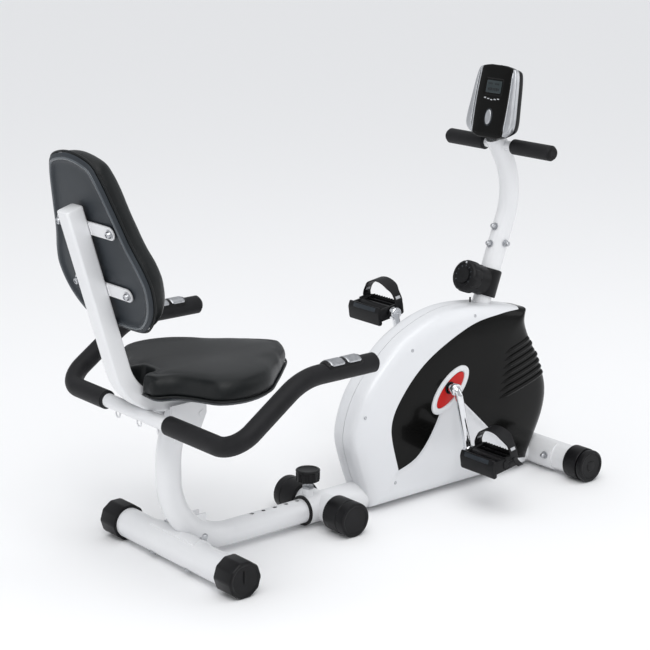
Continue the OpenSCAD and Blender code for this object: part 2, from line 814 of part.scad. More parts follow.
module back_post() stand() color("white") {
    up = 338;
    difference() {
        union() {
            on_back_post() translate([-back_bend_r, 0, up]) rotate([180, 0, 0])
                bend_run([[up, 1, 0, 0]]) square_ring();
            on_back_post() rotate([180, 0, 0]) mirror([1, 0, 0]) translate([back_bend_r, 0, 0])
                rotate([0, 0, 180]) arc_run(back_bend_r, 90 - back_lean) square_ring();
            translate([lean_post_x, 0, back_bend_z - back_bend_r]) rotate([0, 90, 0])
                linear_extrude(195) square_ring();
        }
        y_tube(bar_x, bar_z, -60, 60, bar_r);
    }
    for (z = strap_rise) on_back_post() translate([post_w / 2 - back_bend_r, -95, z - 13.5]) difference() {
        cube([4, 190, 27]);
        for (y = [10, 180]) translate([-1, y, 13.5]) rotate([0, 90, 0]) cylinder(h = 8, r = 4.2);
    }
}

module square_ring() {
    difference() {
        square(post_w, center = true);
        square(post_w - 4, center = true);
    }
}

// Plane of the back shell: outline X up the rest, Y across, height towards the rider
module on_back_rest() {
    translate([-147, 0, 600]) rotate([0, -back_lean, 0]) rotate([0, -90, 0]) mirror([0, 0, 1])
        translate([-600, 0, 0]) children();
}

module back_shell() stand() color([0.16, 0.17, 0.19]) {
    difference() {
        on_back_rest() loft(back_outline, back_mid, [[0.93, -6.7], [0.985, -3], [0.985, 0]]);
        for (z = strap_rise, y = [-85, 85]) on_back_post() translate([post_w / 2 - back_bend_r, y, z])
            rotate([0, 90, 0]) cylinder(h = 8.4, r = 4.1);
    }
}

module back_pad() stand() color([0.1, 0.1, 0.1]) {
    on_back_rest() loft(back_outline, back_mid,
        [[0.97, 0.3], [1, 8], [1, back_t - 20], [0.96, back_t - 8], [0.86, back_t]]);
}

module seat_pan() stand() color([0.1, 0.1, 0.1]) {
    translate([0, 0, seat_z]) loft(seat_outline, seat_mid, [[0.93, 0], [0.97, 5.7]]);
}

module seat_pad() stand() color([0.1, 0.1, 0.1]) {
    translate([0, 0, seat_z + 6]) loft(seat_outline, seat_mid,
        [[0.98, 0], [1, 7], [1, seat_t - 22], [0.96, seat_t - 8], [0.86, seat_t]]);
}

// Cap head bolt along +Z with its head's face at Z = 0
module cap_bolt() {
    translate([0, 0, -1.6]) cylinder(h = 1.6, r = 8.5);
    translate([0, 0, -8]) cylinder(h = 6.5, r = 6.5);
    translate([0, 0, -1]) cylinder(h = 9, r = 4);
}

module cushion_bolts() stand() color("silver") {
    for (z = strap_rise, y = [-85, 85]) on_back_post() translate([post_w / 2 - back_bend_r, y, z])
        rotate([0, 90, 0]) cap_bolt();
    for (x = [21, 155], y = [-80, 80]) translate([x, y, seat_z - 4]) cap_bolt();
}

// Places one half of the handlebar: from the middle of the bar out to the rider's right
module bar_half_path(skip, extra) {
    bend_x = 52;
    first = bar_half - bend_x - skip;
    translate([bar_x, -skip, bar_z]) rotate([0, -bar_rise, 0]) rotate([90, 0, 0])
        bend_run([[first, bend_x, 90, 0], [103, 134, bar_rise, -90], [133 + extra, 1, 0, 0]]) children();
}

module handlebar() stand() color("white") {
    difference() {
        pair() bar_half_path(0, 0) circle(bar_r);
        pair() bar_half_path(0, 0) circle(bar_r - 2);
    }
    for (y = [20, 95]) translate([bar_x, y, bar_z - bar_r - 6]) rotate([90, 0, 90]) {
        translate([0, 0, -1.2]) linear_extrude(2.4) difference() {
            union() {
                circle(8);
                translate([-8, 0]) square([16, 9]);
            }
            circle(5.6);
            translate([-5.6, 0]) square([11.2, 10]);
        }
    }
}

module handle_grips() stand() color([0.12, 0.12, 0.12]) {
    difference() {
        union() {
            bar_half_path(78, 5) circle(foam_r);
            mirror([0, 1, 0]) bar_half_path(128, 5) circle(foam_r);
        }
        pair() bar_half_path(60, 0) circle(bar_r);
    }
}

// End of the handlebar
bar_end_x = bar_x + (52 + 103 + 134 * tan(bar_rise / 2)) * cos(bar_rise) + 134 * tan(bar_rise / 2) + 133;
bar_end_z = bar_z + (52 + 103 + 134 * tan(bar_rise / 2)) * sin(bar_rise);

module pulse_housings() stand() color([0.1, 0.1, 0.1]) {
    pair() translate([bar_end_x - 122, -bar_half, bar_end_z]) difference() {
        translate([0, -12, foam_r - 6]) cube([82, 24, 10]);
        translate([-10, 0, 0]) rotate([0, 90, 0]) cylinder(h = 120, r = foam_r + 0.1);
    }
}

module pulse_plates() stand() color("silver") {
    pair() for (x = [4, 44]) translate([bar_end_x - 122 + x, -bar_half - 10, bar_end_z + foam_r + 4])
        cube([34, 20, 1.5]);
}

main_rail();
pin_nut();
slide_bushing();
mid_foot_tube();
mid_foot_caps();
front_foot_tube();
front_foot_caps();
frame_bolts();
post_stub();
drive_bracket();
shroud_left();
shroud_right();
inset_left();
inset_right();
crank_bezels();
crank_discs();
shroud_screws();
crank_bearings();
flywheel_axle();
drive_belt();
tension_cable();
console_post();
t_bar();
t_bar_grips();
tension_housing();
console_back();
console_face();
console_cheeks();
tension_knob();
mode_button();
crank();
drive_pulley();
pedal_spindles();
flywheel();
flywheel_pulley();
magnet_arm();
pedal_left();
strap_left();
pedal_right();
strap_right();
front_roller_left();
front_roller_right();
pin_knob();
seat_pin();
slide_tube();
rear_foot_tube();
rear_cap_left();
rear_cap_right();
rear_bolts();
seat_bracket();
back_post();
back_shell();
back_pad();
seat_pan();
seat_pad();
cushion_bolts();
handlebar();
handle_grips();
pulse_housings();
pulse_plates();
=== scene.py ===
import json
import math
import bpy
import bmesh
import numpy as np
from mathutils import Matrix, Vector
from mathutils.geometry import delaunay_2d_cdt


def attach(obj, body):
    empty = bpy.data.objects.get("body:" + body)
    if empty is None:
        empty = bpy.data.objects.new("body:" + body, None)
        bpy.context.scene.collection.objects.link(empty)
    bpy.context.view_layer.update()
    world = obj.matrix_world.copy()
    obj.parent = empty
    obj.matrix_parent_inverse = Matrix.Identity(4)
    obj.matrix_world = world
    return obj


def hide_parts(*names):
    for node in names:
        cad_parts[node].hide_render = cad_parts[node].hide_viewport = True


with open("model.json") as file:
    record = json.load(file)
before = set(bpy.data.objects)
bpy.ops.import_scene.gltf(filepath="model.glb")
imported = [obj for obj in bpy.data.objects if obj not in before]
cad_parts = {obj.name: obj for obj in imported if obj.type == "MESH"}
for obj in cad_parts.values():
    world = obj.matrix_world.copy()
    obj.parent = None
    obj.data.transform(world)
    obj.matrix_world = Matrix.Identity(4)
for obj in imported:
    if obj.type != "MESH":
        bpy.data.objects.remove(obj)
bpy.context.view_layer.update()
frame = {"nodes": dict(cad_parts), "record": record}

NODES = frame["nodes"]
SCENE = bpy.context.scene
SCENE.view_settings.view_transform = "Standard"

# Lengths below are in millimetres, with X counted from the rear foot as in the CAD, and become metres in P().
MID_X = 399.0
CRANK_X, CRANK_Z = 690, 253
FOOT_Z = 37.5


def P(x, y, z):
    return Vector(((x - MID_X) / 1000.0, y / 1000.0, z / 1000.0))


# ---- materials


def new_mat(name):
    m = bpy.data.materials.new(name)
    m.use_nodes = True
    nt = m.node_tree
    nt.nodes.clear()
    out = nt.nodes.new("ShaderNodeOutputMaterial")
    bsdf = nt.nodes.new("ShaderNodeBsdfPrincipled")
    nt.links.new(bsdf.outputs[0], out.inputs[0])
    return m, nt, bsdf


M = {}


def surface(name, low, high, rough, metallic=0.0, coat=0.0, coat_rough=0.08, spec=0.5, vary=30.0, grain=900.0,
            bump=0.05, bump_mm=0.1, pattern="noise", sheen=0.0):
    """Puts into M a finish with slow colour variation, uneven gloss and a fine surface texture."""
    m, nt, b = new_mat(name)

    def node(kind, link, **values):
        """A shader node with one linked input, (socket, input name), and values for others."""
        k = nt.nodes.new("ShaderNode" + kind)
        nt.links.new(link[0], k.inputs[link[1]])
        for key, value in values.items():
            k.inputs[key.replace("_", " ")].default_value = value
        return k
    at = nt.nodes.new("ShaderNodeTexCoord").outputs["Object"]
    slow = node("TexNoise", (at, "Vector"), Scale=vary, Detail=4.0).outputs["Fac"]
    ramp = node("ValToRGB", (slow, "Fac"))
    for stop, place, tone in zip(ramp.color_ramp.elements, (0.3, 0.7), (low, high)):
        stop.position = place
        stop.color = (*tone, 1)
    gloss = node("MapRange", (slow, "Value"), To_Min=rough[0], To_Max=rough[1])
    if pattern == "leather":
        cells = node("TexVoronoi", (at, "Vector"), Scale=grain)
        cells.feature = "DISTANCE_TO_EDGE"
        height = node("MapRange", (cells.outputs["Distance"], "Value"), From_Max=0.25).outputs["Result"]
    else:
        height = node("TexNoise", (at, "Vector"), Scale=grain, Detail=3.0).outputs["Fac"]
    relief = node("Bump", (height, "Height"), Strength=bump, Distance=bump_mm / 1000.0)
    nt.links.new(ramp.outputs["Color"], b.inputs["Base Color"])
    nt.links.new(gloss.outputs["Result"], b.inputs["Roughness"])
    nt.links.new(relief.outputs["Normal"], b.inputs["Normal"])
    for socket, value in (("Metallic", metallic), ("Coat Weight", coat), ("Coat Roughness", coat_rough),
                          ("Specular IOR Level", spec), ("Sheen Weight", sheen), ("Sheen Roughness", 0.5)):
        b.inputs[socket].default_value = value
    M[name] = m

surface("frame_white", (0.77, 0.775, 0.79), (0.81, 0.815, 0.825), (0.27, 0.33), coat=0.4,
        coat_rough=0.14, vary=6, grain=260, bump=0.10, bump_mm=0.12)
surface("shroud_white", (0.745, 0.755, 0.775), (0.765, 0.775, 0.795), (0.26, 0.31), coat=0.4,
        coat_rough=0.12, vary=5, grain=420, bump=0.06, bump_mm=0.1)
surface("gloss_black", (0.003, 0.003, 0.0028), (0.005, 0.005, 0.0047), (0.14, 0.2), coat=0.07,
        coat_rough=0.04, spec=0.1, vary=12, grain=300, bump=0.05, bump_mm=0.08)
surface("black_plastic", (0.005, 0.005, 0.0056), (0.009, 0.009, 0.010), (0.32, 0.46),
        spec=0.2, vary=40, grain=1500, bump=0.35, bump_mm=0.12)
surface("grey_plastic", (0.020, 0.025, 0.031), (0.030, 0.036, 0.043), (0.36, 0.5), spec=0.25,
        vary=16, grain=1300, bump=0.4, bump_mm=0.12)
surface("silver_plastic", (0.46, 0.47, 0.49), (0.55, 0.56, 0.58), (0.26, 0.36),
        metallic=0.75, coat=0.3, vary=60, grain=2400, bump=0.08, bump_mm=0.05)
surface("red_plastic", (0.50, 0.010, 0.008), (0.56, 0.014, 0.011), (0.25, 0.35), coat=0.1, spec=0.2,
        vary=40, grain=900, bump=0.06, bump_mm=0.08)
surface("vinyl", (0.005, 0.006, 0.0064), (0.009, 0.0105, 0.011), (0.32, 0.42), spec=0.22,
        vary=10, grain=620, bump=0.32, bump_mm=0.22, pattern="leather")
surface("foam", (0.006, 0.006, 0.007), (0.010, 0.010, 0.0115), (0.5, 0.66), spec=0.22,
        vary=60, grain=1100, bump=0.6, bump_mm=0.3, sheen=0.04)
surface("black_rubber", (0.007, 0.007, 0.008), (0.012, 0.012, 0.013), (0.4, 0.55), spec=0.22,
        vary=50, grain=900, bump=0.3, bump_mm=0.15)
surface("steel", (0.42, 0.43, 0.45), (0.56, 0.57, 0.59), (0.24, 0.38), metallic=1.0,
        vary=120, grain=1800, bump=0.15, bump_mm=0.05)
surface("dark_metal", (0.03, 0.03, 0.033), (0.05, 0.05, 0.054), (0.35, 0.5), metallic=0.3,
        vary=30, grain=700, bump=0.2, bump_mm=0.1)
surface("cast_iron", (0.14, 0.14, 0.145), (0.22, 0.22, 0.225), (0.35, 0.5), metallic=0.9,
        vary=60, grain=900, bump=0.3, bump_mm=0.1)
surface("chrome", (0.72, 0.73, 0.75), (0.80, 0.81, 0.83), (0.06, 0.13), metallic=1.0,
        vary=60, grain=1500, bump=0.03, bump_mm=0.03)
surface("lcd", (0.030, 0.040, 0.043), (0.042, 0.052, 0.056), (0.1, 0.14), coat=0.1, spec=0.12, vary=25,
        grain=1200, bump=0.02, bump_mm=0.02)
surface("lcd_dark", (0.006, 0.008, 0.01), (0.012, 0.014, 0.016), (0.2, 0.3), vary=200, grain=1200,
        bump=0.02, bump_mm=0.02)
# a lighter grey: on the back shell's bead it is a painted highlight on the shell's grey plastic; on the dial
# it is the scale marks' own colour
surface("bead_plastic", (0.050, 0.060, 0.070), (0.070, 0.082, 0.094), (0.2, 0.3), coat=0.5, vary=30,
        grain=900, bump=0.1, bump_mm=0.05)
surface("grey_print", (0.42, 0.43, 0.45), (0.52, 0.53, 0.55), (0.4, 0.5), vary=300, grain=2000,
        bump=0.05, bump_mm=0.02)
SLOT_OF = {s["node"]: s["material_slot"] for s in frame["record"]["subparts"]}

for n, o in NODES.items():
    o.data.materials.clear()
    o.data.materials.append(M[SLOT_OF[n]])
    for p in o.data.polygons:
        p.use_smooth = True
    o.data.set_sharp_from_angle(angle=math.radians(28))

# ---- mesh helpers


def clean(me, dist):
    """Merges points closer than dist metres and turns the faces outwards."""
    bm = bmesh.new()
    bm.from_mesh(me)
    bmesh.ops.remove_doubles(bm, verts=bm.verts, dist=dist)
    bmesh.ops.recalc_face_normals(bm, faces=bm.faces)
    bm.to_mesh(me)
    bm.free()


def new_object(name, data):
    o = bpy.data.objects.new(name, data)
    SCENE.collection.objects.link(o)
    return o


def add(name, verts, faces, mat, body, replaces=(), smooth=35, slot=None):
    """A mesh piece from points in metres, riding on a CAD body."""
    me = bpy.data.meshes.new(name)
    me.from_pydata([tuple(v) for v in verts], [], faces)
    me.validate()
    clean(me, 1e-6)
    o = new_object(name, me)
    me.materials.append(M[mat])
    for p in me.polygons:
        p.use_smooth = True
    if smooth:
        me.set_sharp_from_angle(angle=math.radians(smooth))
    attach(o, body)
    if replaces:
        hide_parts(*replaces)
    return o


def spline(pts, k, closed=False):
    """Catmull-Rom points through pts, k steps between neighbours."""
    pts = [np.array(p, float) for p in pts]
    n = len(pts)
    out = []
    for i in range(n if closed else n - 1):
        a, b, c, d = (pts[(i + j) % n] if closed else pts[min(max(i + j, 0), n - 1)] for j in (-1, 0, 1, 2))
        for j in range(k):
            t = j / k
            out.append(0.5 * (2 * b + (c - a) * t + (2 * a - 5 * b + 4 * c - d) * t * t
                              + (3 * b - a - 3 * c + d) * t ** 3))
    if not closed:
        out.append(pts[-1])
    return out


def axes(z, hint=(0, 0, 1)):
    z = Vector(z).normalized()
    x = Vector(hint).cross(z)
    if x.length < 1e-4:
        x = Vector((1, 0, 0)).cross(z)
    x.normalize()
    return x, z.cross(x), z


def skin(rows, n, loop=False):
    """Quads between rows of n points, each closed on itself; loop joins the last row to the first."""
    faces = []
    for i in range(rows if loop else rows - 1):
        a, b = i * n, (i + 1) % rows * n
        faces += [(a + j, a + (j + 1) % n, b + (j + 1) % n, b + j) for j in range(n)]
    return faces


def capped(rows, n):
    """The same with a face over each end."""
    return skin(rows, n) + [tuple(range(n - 1, -1, -1)), tuple(range((rows - 1) * n, rows * n))]


def sheet(rows, n):
    """Quads of an open grid: rows of n points."""
    return [(i * n + j, i * n + j + 1, (i + 1) * n + j + 1, (i + 1) * n + j)
            for i in range(rows - 1) for j in range(n - 1)]


def lathe(profile, at, axis, n=64, ends=True, hint=(0, 0, 1), wobble=None):
    """Turns [(radius, height)...] in mm about an axis; wobble(angle, radius, height) changes the radius."""
    x, y, z = axes(axis, hint)
    verts, faces = [], skin(len(profile), n)
    for r, h in profile:
        for i in range(n):
            a = 2 * math.pi * i / n
            rr = wobble(a, r, h) if wobble else r
            verts.append(at + (x * math.cos(a) + y * math.sin(a)) * (rr / 1000) + z * (h / 1000))
    for j in (0, len(profile) - 1) if ends else ():
        verts.append(at + z * (profile[j][1] / 1000))
        faces += [(j * n + i, j * n + (i + 1) % n, len(verts) - 1) for i in range(n)]
    return verts, faces


def merge(*parts):
    """Joins (verts, faces) pairs into one."""
    verts, faces = [], []
    for v, f in parts:
        k = len(verts)
        verts += list(v)
        faces += [tuple(i + k for i in g) for g in f]
    return verts, faces


def sweep(path, section, up=(0, 0, 1), closed=False, scale=None):
    """Moves a section, a list of (across, up) in mm, along path points in metres."""
    path = [Vector(p) for p in path]
    n, m = len(path), len(section)
    verts, u = [], Vector(up)
    for i, p in enumerate(path):
        if closed:
            t = path[(i + 1) % n] - path[i - 1]
        else:
            t = path[min(i + 1, n - 1)] - path[max(i - 1, 0)]
        t.normalize()
        u = (u - t * u.dot(t)).normalized()
        s = t.cross(u)
        k = scale[i] if scale else 1.0
        for a, b in section:
            verts.append(p + s * (a * k / 1000) + u * (b * k / 1000))
    return verts, skin(n, m, True) if closed else capped(n, m)


def ring(r, n=32):
    return [(r * math.cos(2 * math.pi * i / n), r * math.sin(2 * math.pi * i / n)) for i in range(n)]


def rounded_rect(w, h, r, n=6):
    pts = []
    for cx, cy, a in ((w / 2 - r, h / 2 - r, 0), (-w / 2 + r, h / 2 - r, 90), (-w / 2 + r, -h / 2 + r, 180),
                      (w / 2 - r, -h / 2 + r, 270)):
        for i in range(n + 1):
            t = math.radians(a + 90 * i / n)
            pts.append((cx + r * math.cos(t), cy + r * math.sin(t)))
    return pts


def block(at, x, y, z, size, bevel, segs=3):
    """Rounded block of size mm, centred at a point, along unit axes x, y, z: (verts, faces)."""
    bm = bmesh.new()
    bmesh.ops.create_cube(bm, size=1.0)
    for v in bm.verts:
        v.co = Vector((v.co.x * size[0], v.co.y * size[1], v.co.z * size[2]))
    bmesh.ops.bevel(bm, geom=list(bm.edges), offset=bevel, segments=segs, profile=0.5, affect="EDGES")
    verts = [at + (x * v.co.x + y * v.co.y + z * v.co.z) / 1000 for v in bm.verts]
    bm.verts.index_update()
    faces = [tuple(v.index for v in f.verts) for f in bm.faces]
    bm.free()
    return verts, faces


X, Y, Z = Vector((1, 0, 0)), Vector((0, 1, 0)), Vector((0, 0, 1))

# ---- paths shared by the bent tubes


def frame_of(origin, *turns):
    """4x4 placement in mm: a translation, then rotations (axis, degrees) applied in order."""
    m = Matrix.Translation(Vector(origin))
    for axis, deg in turns:
        m = m @ Matrix.Rotation(math.radians(deg), 4, axis)
    return m


def bent_path(m, steps, seg=3.0):
    """Points in metres along [straight, bend radius, bend angle, turn] from a placement, heading +Z."""
    pts = [m.translation.copy()]
    for length, radius, angle, turn in steps:
        m = m @ Matrix.Rotation(math.radians(turn), 4, "Z")
        m = m @ Matrix.Translation((0, 0, length))
        pts.append(m.translation.copy())
        if angle > 0:
            k = max(2, int(angle / seg))
            for i in range(1, k + 1):
                a = math.radians(angle * i / k)
                pts.append(m @ Vector((radius * (1 - math.cos(a)), 0, radius * math.sin(a))))
            a = math.radians(angle)
            m = m @ Matrix.Translation((radius * (1 - math.cos(a)), 0, radius * math.sin(a)))
            m = m @ Matrix.Rotation(a, 4, "Y")
    return [P(*p) for p in pts]


def resample(pts, step):
    """The same path with points about step mm apart."""
    out = [pts[0]]
    for a, b in zip(pts, pts[1:]):
        n = max(1, int(round((b - a).length * 1000 / step)))
        for i in range(1, n + 1):
            out.append(a.lerp(b, i / n))
    return out


def sleeve(path, r, n=40, round_end=5.0):
    """A foam sleeve: a tube that rounds over at its ends."""
    path = resample(path, 6)
    total = [0.0]
    for a, b in zip(path, path[1:]):
        total.append(total[-1] + (b - a).length * 1000)
    lack = [max(0.0, 1 - min(t, total[-1] - t) / round_end) for t in total]
    return sweep(path, ring(r, n), scale=[math.sqrt(1 - d * d) * 0.3 + 0.7 for d in lack])

# ---- housing

BACK = [(486, 14), (452, 100), (434, 178), (457, 256), (504, 316), (584, 379), (700, 418), (822, 415),
        (950, 387)]
FRONT = [(950, 387), (947, 357), (962, 318), (995, 260), (1020, 190), (1011, 125), (968, 40), (962, 14)]
PANEL_TOP = [(1060, 398), (950, 388.5), (860, 390), (756, 379), (636, 329), (560, 262), (526, 190), (549, 90)]
PANEL_LOW = [(549, 90), (600, 112), (645, 165), (690, 253)]
PANEL_FRONT = [(690, 253), (784, 164), (925, 35), (1060, 5)]
HUB = np.array([715.0, 215.0])


def inside(poly, pts):
    """Even-odd test of many points against a polygon."""
    x, z = pts[:, 0], pts[:, 1]
    res = np.zeros(len(pts), bool)
    n = len(poly)
    for i in range(n):
        x0, z0 = poly[i]
        x1, z1 = poly[(i + 1) % n]
        hit = ((z0 > z) != (z1 > z))
        with np.errstate(divide="ignore", invalid="ignore"):
            xs = (x1 - x0) * (z - z0) / (z1 - z0 if z1 != z0 else 1e-9) + x0
        res ^= hit & (x < xs)
    return res


def edge_distance(poly, pts, closed=True):
    """Distance from points to a polyline."""
    d = np.full(len(pts), 1e9)
    n = len(poly)
    for i in range(n if closed else n - 1):
        a, b = np.array(poly[i], float), np.array(poly[(i + 1) % n], float)
        ab = b - a
        t = np.clip(((pts - a) @ ab) / max(ab @ ab, 1e-9), 0, 1)
        d = np.minimum(d, np.linalg.norm(pts - (a + t[:, None] * ab), axis=1))
    return d


def kept(poly, pts, tris, first):
    """The triangles whose middles lie inside a polygon, as faces that start at vertex number first."""
    t = np.array([q for q in tris if len(q) == 3])
    t = t[inside(poly, pts[t].mean(1))]
    return [tuple(int(i) + first for i in q) for q in t]


def smoothstep(a, b, x):
    t = np.clip((x - a) / (b - a), 0, 1)
    return t * t * (3 - 2 * t)


loop = [tuple(p) for p in spline(BACK, 14)[:-1]] + [tuple(p) for p in spline(FRONT, 14)]
loop += [(962 - 476 * i / 48, 14) for i in range(1, 48)]
LOOP = np.array(loop)
PANEL = np.array([tuple(p) for p in spline(PANEL_TOP, 14)] + [tuple(p) for p in spline(PANEL_LOW, 10)][1:]
                 + PANEL_FRONT[1:])
FACET = [tuple(p) for p in spline(PANEL_LOW, 10)] + PANEL_FRONT[1:3] + [(965, -20), (500, -20)]
_ang = np.arctan2(LOOP[:, 1] - HUB[1], LOOP[:, 0] - HUB[0])
_rad = np.linalg.norm(LOOP - HUB, axis=1)
_o = np.argsort(_ang)
_grid = np.linspace(-math.pi, math.pi, 721)[:-1]
_R = np.interp(_grid, _ang[_o], _rad[_o], period=2 * math.pi)
_k = np.exp(-0.5 * ((np.arange(720) - 360) / 34.0) ** 2)
_Rs = np.real(np.fft.ifft(np.fft.fft(_R) * np.fft.fft(np.roll(_k / _k.sum(), -360))))
LEVEL = np.array([tuple(p) for p in spline([(0, 57.2), (0.3, 57.0), (0.5, 56), (0.64, 54.1), (0.76, 51),
                                            (0.85, 47.6), (0.9, 45), (0.94, 41.6), (0.975, 36.5)], 8)])
RIM = [(0.975, 36.5), (0.984, 34.2), (0.991, 31), (0.996, 27), (0.999, 22), (1.0, 16), (1.0, 8), (1.0, 0.3)]


def reach(pts, radii):
    """Distance of points from HUB, as a share of the outline's radius in the same direction."""
    d = pts - HUB
    radius = np.interp(np.arctan2(d[:, 1], d[:, 0]), _grid, radii, period=2 * math.pi)
    return np.linalg.norm(d, axis=1) / radius


def scale_of(pts):
    sharp, soft = reach(pts, _R), reach(pts, _Rs)
    w = smoothstep(0.55, 0.97, sharp)
    return np.clip(w * sharp + (1 - w) * soft, 0, 1)


def side_height(pts):
    """How far the housing's side stands out, in mm, at points (X, Z)."""
    y = np.interp(scale_of(pts), LEVEL[:, 0], LEVEL[:, 1])
    flat = 44.0 + (pts[:, 1] - 14) * (12.0 / 239)
    depth = np.clip(y - flat, 0, None)
    w = np.where(inside(FACET, pts), smoothstep(0, 11, edge_distance(FACET[:-2], pts, closed=False)), 0.0)
    return y - depth * w


def housing_half(side):
    """White and black meshes of one half of the housing; side is +1 for the rider's left."""
    ring_in = HUB + (LOOP - HUB) * 0.975
    xs, zs = np.meshgrid(np.arange(436, 1022, 5.5), np.arange(20, 420, 5.5))
    pts = np.column_stack([xs.ravel() + (zs.ravel() * 0.31) % 5.5 - 2.7, zs.ravel()])
    pts = pts[inside(ring_in, pts)]
    pts = pts[(edge_distance(ring_in, pts) > 2.4) & (edge_distance(PANEL, pts) > 2.0)]
    coords, edges = [], []
    for poly in (ring_in, PANEL):
        k = len(coords)
        coords += [Vector(p) for p in poly]
        edges += [(k + i, k + (i + 1) % len(poly)) for i in range(len(poly))]
    coords += [Vector(p) for p in pts]
    v2, _, f2, *_ = delaunay_2d_cdt(coords, edges, [], 0, 1e-4)
    v2 = np.array([tuple(v) for v in v2])
    tri = np.array([f for f in f2 if len(f) == 3])
    cen = v2[tri].mean(1)
    keep = inside(ring_in, cen) & (np.linalg.norm(cen - np.array([CRANK_X, CRANK_Z]), axis=1) > 16)
    tri, cen = tri[keep], cen[keep]
    dark = inside(PANEL, cen)
    y = side_height(v2)
    out = {}
    for label, mask, sink in (("white", ~dark, 0.0), ("black", dark, 0.6)):
        t = tri[mask]
        used = np.unique(t)
        remap = {int(u): i for i, u in enumerate(used)}
        verts = [P(v2[u, 0], side * (y[u] - sink), v2[u, 1]) for u in used]
        faces = [tuple(remap[int(i)] for i in f) for f in t]
        count = {}
        for f in t:
            for a, b in ((f[0], f[1]), (f[1], f[2]), (f[2], f[0])):
                key = (min(a, b), max(a, b))
                count[key] = count.get(key, 0) + 1
        border = [k for k, c in count.items() if c == 1]
        f_of = reach(v2, _R)
        new = {}

        def below(key, q, h):
            """Number of the point over q, h mm out from the middle; made once for each key."""
            if key not in new:
                verts.append(P(q[0], side * h, q[1]))
                new[key] = len(verts) - 1
            return new[key]
        for a, b in border:
            last = (remap[int(a)], remap[int(b)])
            if min(f_of[a], f_of[b]) > 0.968 and edge_distance(ring_in, v2[[a, b]].mean(0)[None])[0] < 0.05:
                for j, (lv, yy) in enumerate(RIM[1:]):
                    ends = [below((int(u), j), HUB + (v2[u] - HUB) * (lv / 0.975), max(yy - sink, 0.2))
                            for u in (a, b)]
                    faces.append((*last, *ends[::-1]))
                    last = ends
            else:
                ends = [below((int(u), "in"), v2[u], y[u] - 3.2) for u in (a, b)]
                faces.append((*last, *ends[::-1]))
        out[label] = (verts, faces)
    return out

for side, tag in ((1, "left"), (-1, "right")):
    half = housing_half(side)
    add("shroud_shell_" + tag, *half["white"], "shroud_white", "frame", ["shroud_" + tag], smooth=50)
    add("shroud_panel_" + tag, *half["black"], "gloss_black", "frame", ["inset_" + tag], smooth=50)
    # moulded vent ribs that run to the front edge and round it
    parts = []
    for i in range(7):
        x0, z0 = 846 + 3.0 * i, 196 + 17.0 * i
        xs = x0 + np.arange(27) / 26 * (1035 - x0)
        path = np.column_stack([xs, z0 + 0.2 * (xs - x0)])
        path = path[reach(path, _R) < 0.975]
        pts = [P(p[0], side * (h - 0.6), p[1]) for p, h in zip(path, side_height(path))]
        for lv, h in RIM[1:6]:
            q = HUB + (path[-1] - HUB) * (lv / 0.975)
            pts.append(P(q[0], side * h, q[1]))
        n = len(pts)
        sc = [min(1.0, math.sin(min(1.0, (k + 0.35) / 5) * math.pi / 2)) for k in range(n)]
        sc[-1] = 0.5
        sc[-2] = 0.85
        sec = [(5.4 * math.cos(a), 4.6 * math.sin(a)) for a in np.linspace(0, 2 * math.pi, 17)[:-1]]
        parts.append(sweep(pts, sec, up=(0, side, 0), scale=sc))
    add("vent_ribs_" + tag, *merge(*parts), "gloss_black", "frame")
    # screws sunk in the shell
    parts = []
    for sx, sz in ((462, 225), (590, 352), (776, 398), (545, 62)):
        q = np.array([(float(sx), float(sz))])
        h = float(side_height(q)[0])
        n = Vector((0, side, 0))
        parts.append(lathe([(3.9, -1.5), (3.9, 0.5), (3.2, 1.1), (1.4, 1.2), (1.2, 0.2), (0.02, 0.1)],
                           P(sx, side * (h - 0.3), sz), n, 20))
    add("shell_screws_" + tag, *merge(*parts), "steel", "frame", ["shroud_screws"], smooth=30)

# ---- crank trim


def oval(a, b, n=72):
    """Oval about the crank, as (X, Z) points, its long axis leaning forwards."""
    c, s = math.cos(math.radians(41)), math.sin(math.radians(41))
    t = np.linspace(0, 2 * math.pi, n + 1)[:-1]
    u, w = a * np.cos(t), b * np.sin(t)
    return np.column_stack([693 + u * c - w * s, 247 + u * s + w * c])


def band(rows, side):
    """Skin through rows of equal-length outlines: each row is (outline, y)."""
    v = [P(x, side * y, z) for q, y in rows for x, z in q]
    return v, skin(len(rows), len(rows[0][0]))

for side, tag in ((1, "left"), (-1, "right")):
    add("crank_ring_" + tag, *band([(oval(66, 32), 50), (oval(66, 32), 58.6), (oval(65.4, 31.4), 60.0),
                                    (oval(64, 30), 60.6), (oval(54, 23.5), 60.8), (oval(52.2, 21.9), 60.3),
                                    (oval(51.2, 21.0), 59.0), (oval(50.8, 20.7), 57),
                                    (oval(50.6, 20.6), 50)], side), "shroud_white", "frame",
        ["crank_bezels"], smooth=40)
    th = np.unwrap(np.arctan2(oval(50, 20)[:, 1] - CRANK_Z, oval(50, 20)[:, 0] - CRANK_X))
    hub = np.column_stack([CRANK_X + 12.2 * np.cos(th), CRANK_Z + 12.2 * np.sin(th)])
    add("crank_disc_" + tag, *band([(oval(50.2, 20.2), 52), (oval(50.2, 20.2), 57.8),
                                    (oval(49.4, 19.5), 58.8), (oval(47.5, 18.2), 59.1),
                                    ((oval(47.5, 18.2) + hub) / 2, 59.4), (hub, 59.5), (hub, 54)], side),
        "red_plastic", "frame", ["crank_discs"], smooth=40)
    add("crank_hub_cover_" + tag, *lathe([(14.0, -4), (14.0, 3.2), (13.5, 4.6), (12.4, 5.2), (11.5, 4.6),
                                          (11.1, 2.6), (10.9, -2)], P(CRANK_X, side * 57, CRANK_Z),
                                         Vector((0, side, 0)), 64, ends=False), "black_plastic", "frame",
        smooth=40)

# ---- crank, pedals, straps


def eye(s, y):
    """Middle of the crank arm's eye on side s, at y."""
    return P(CRANK_X - s * 20, y, CRANK_Z + s * 139)

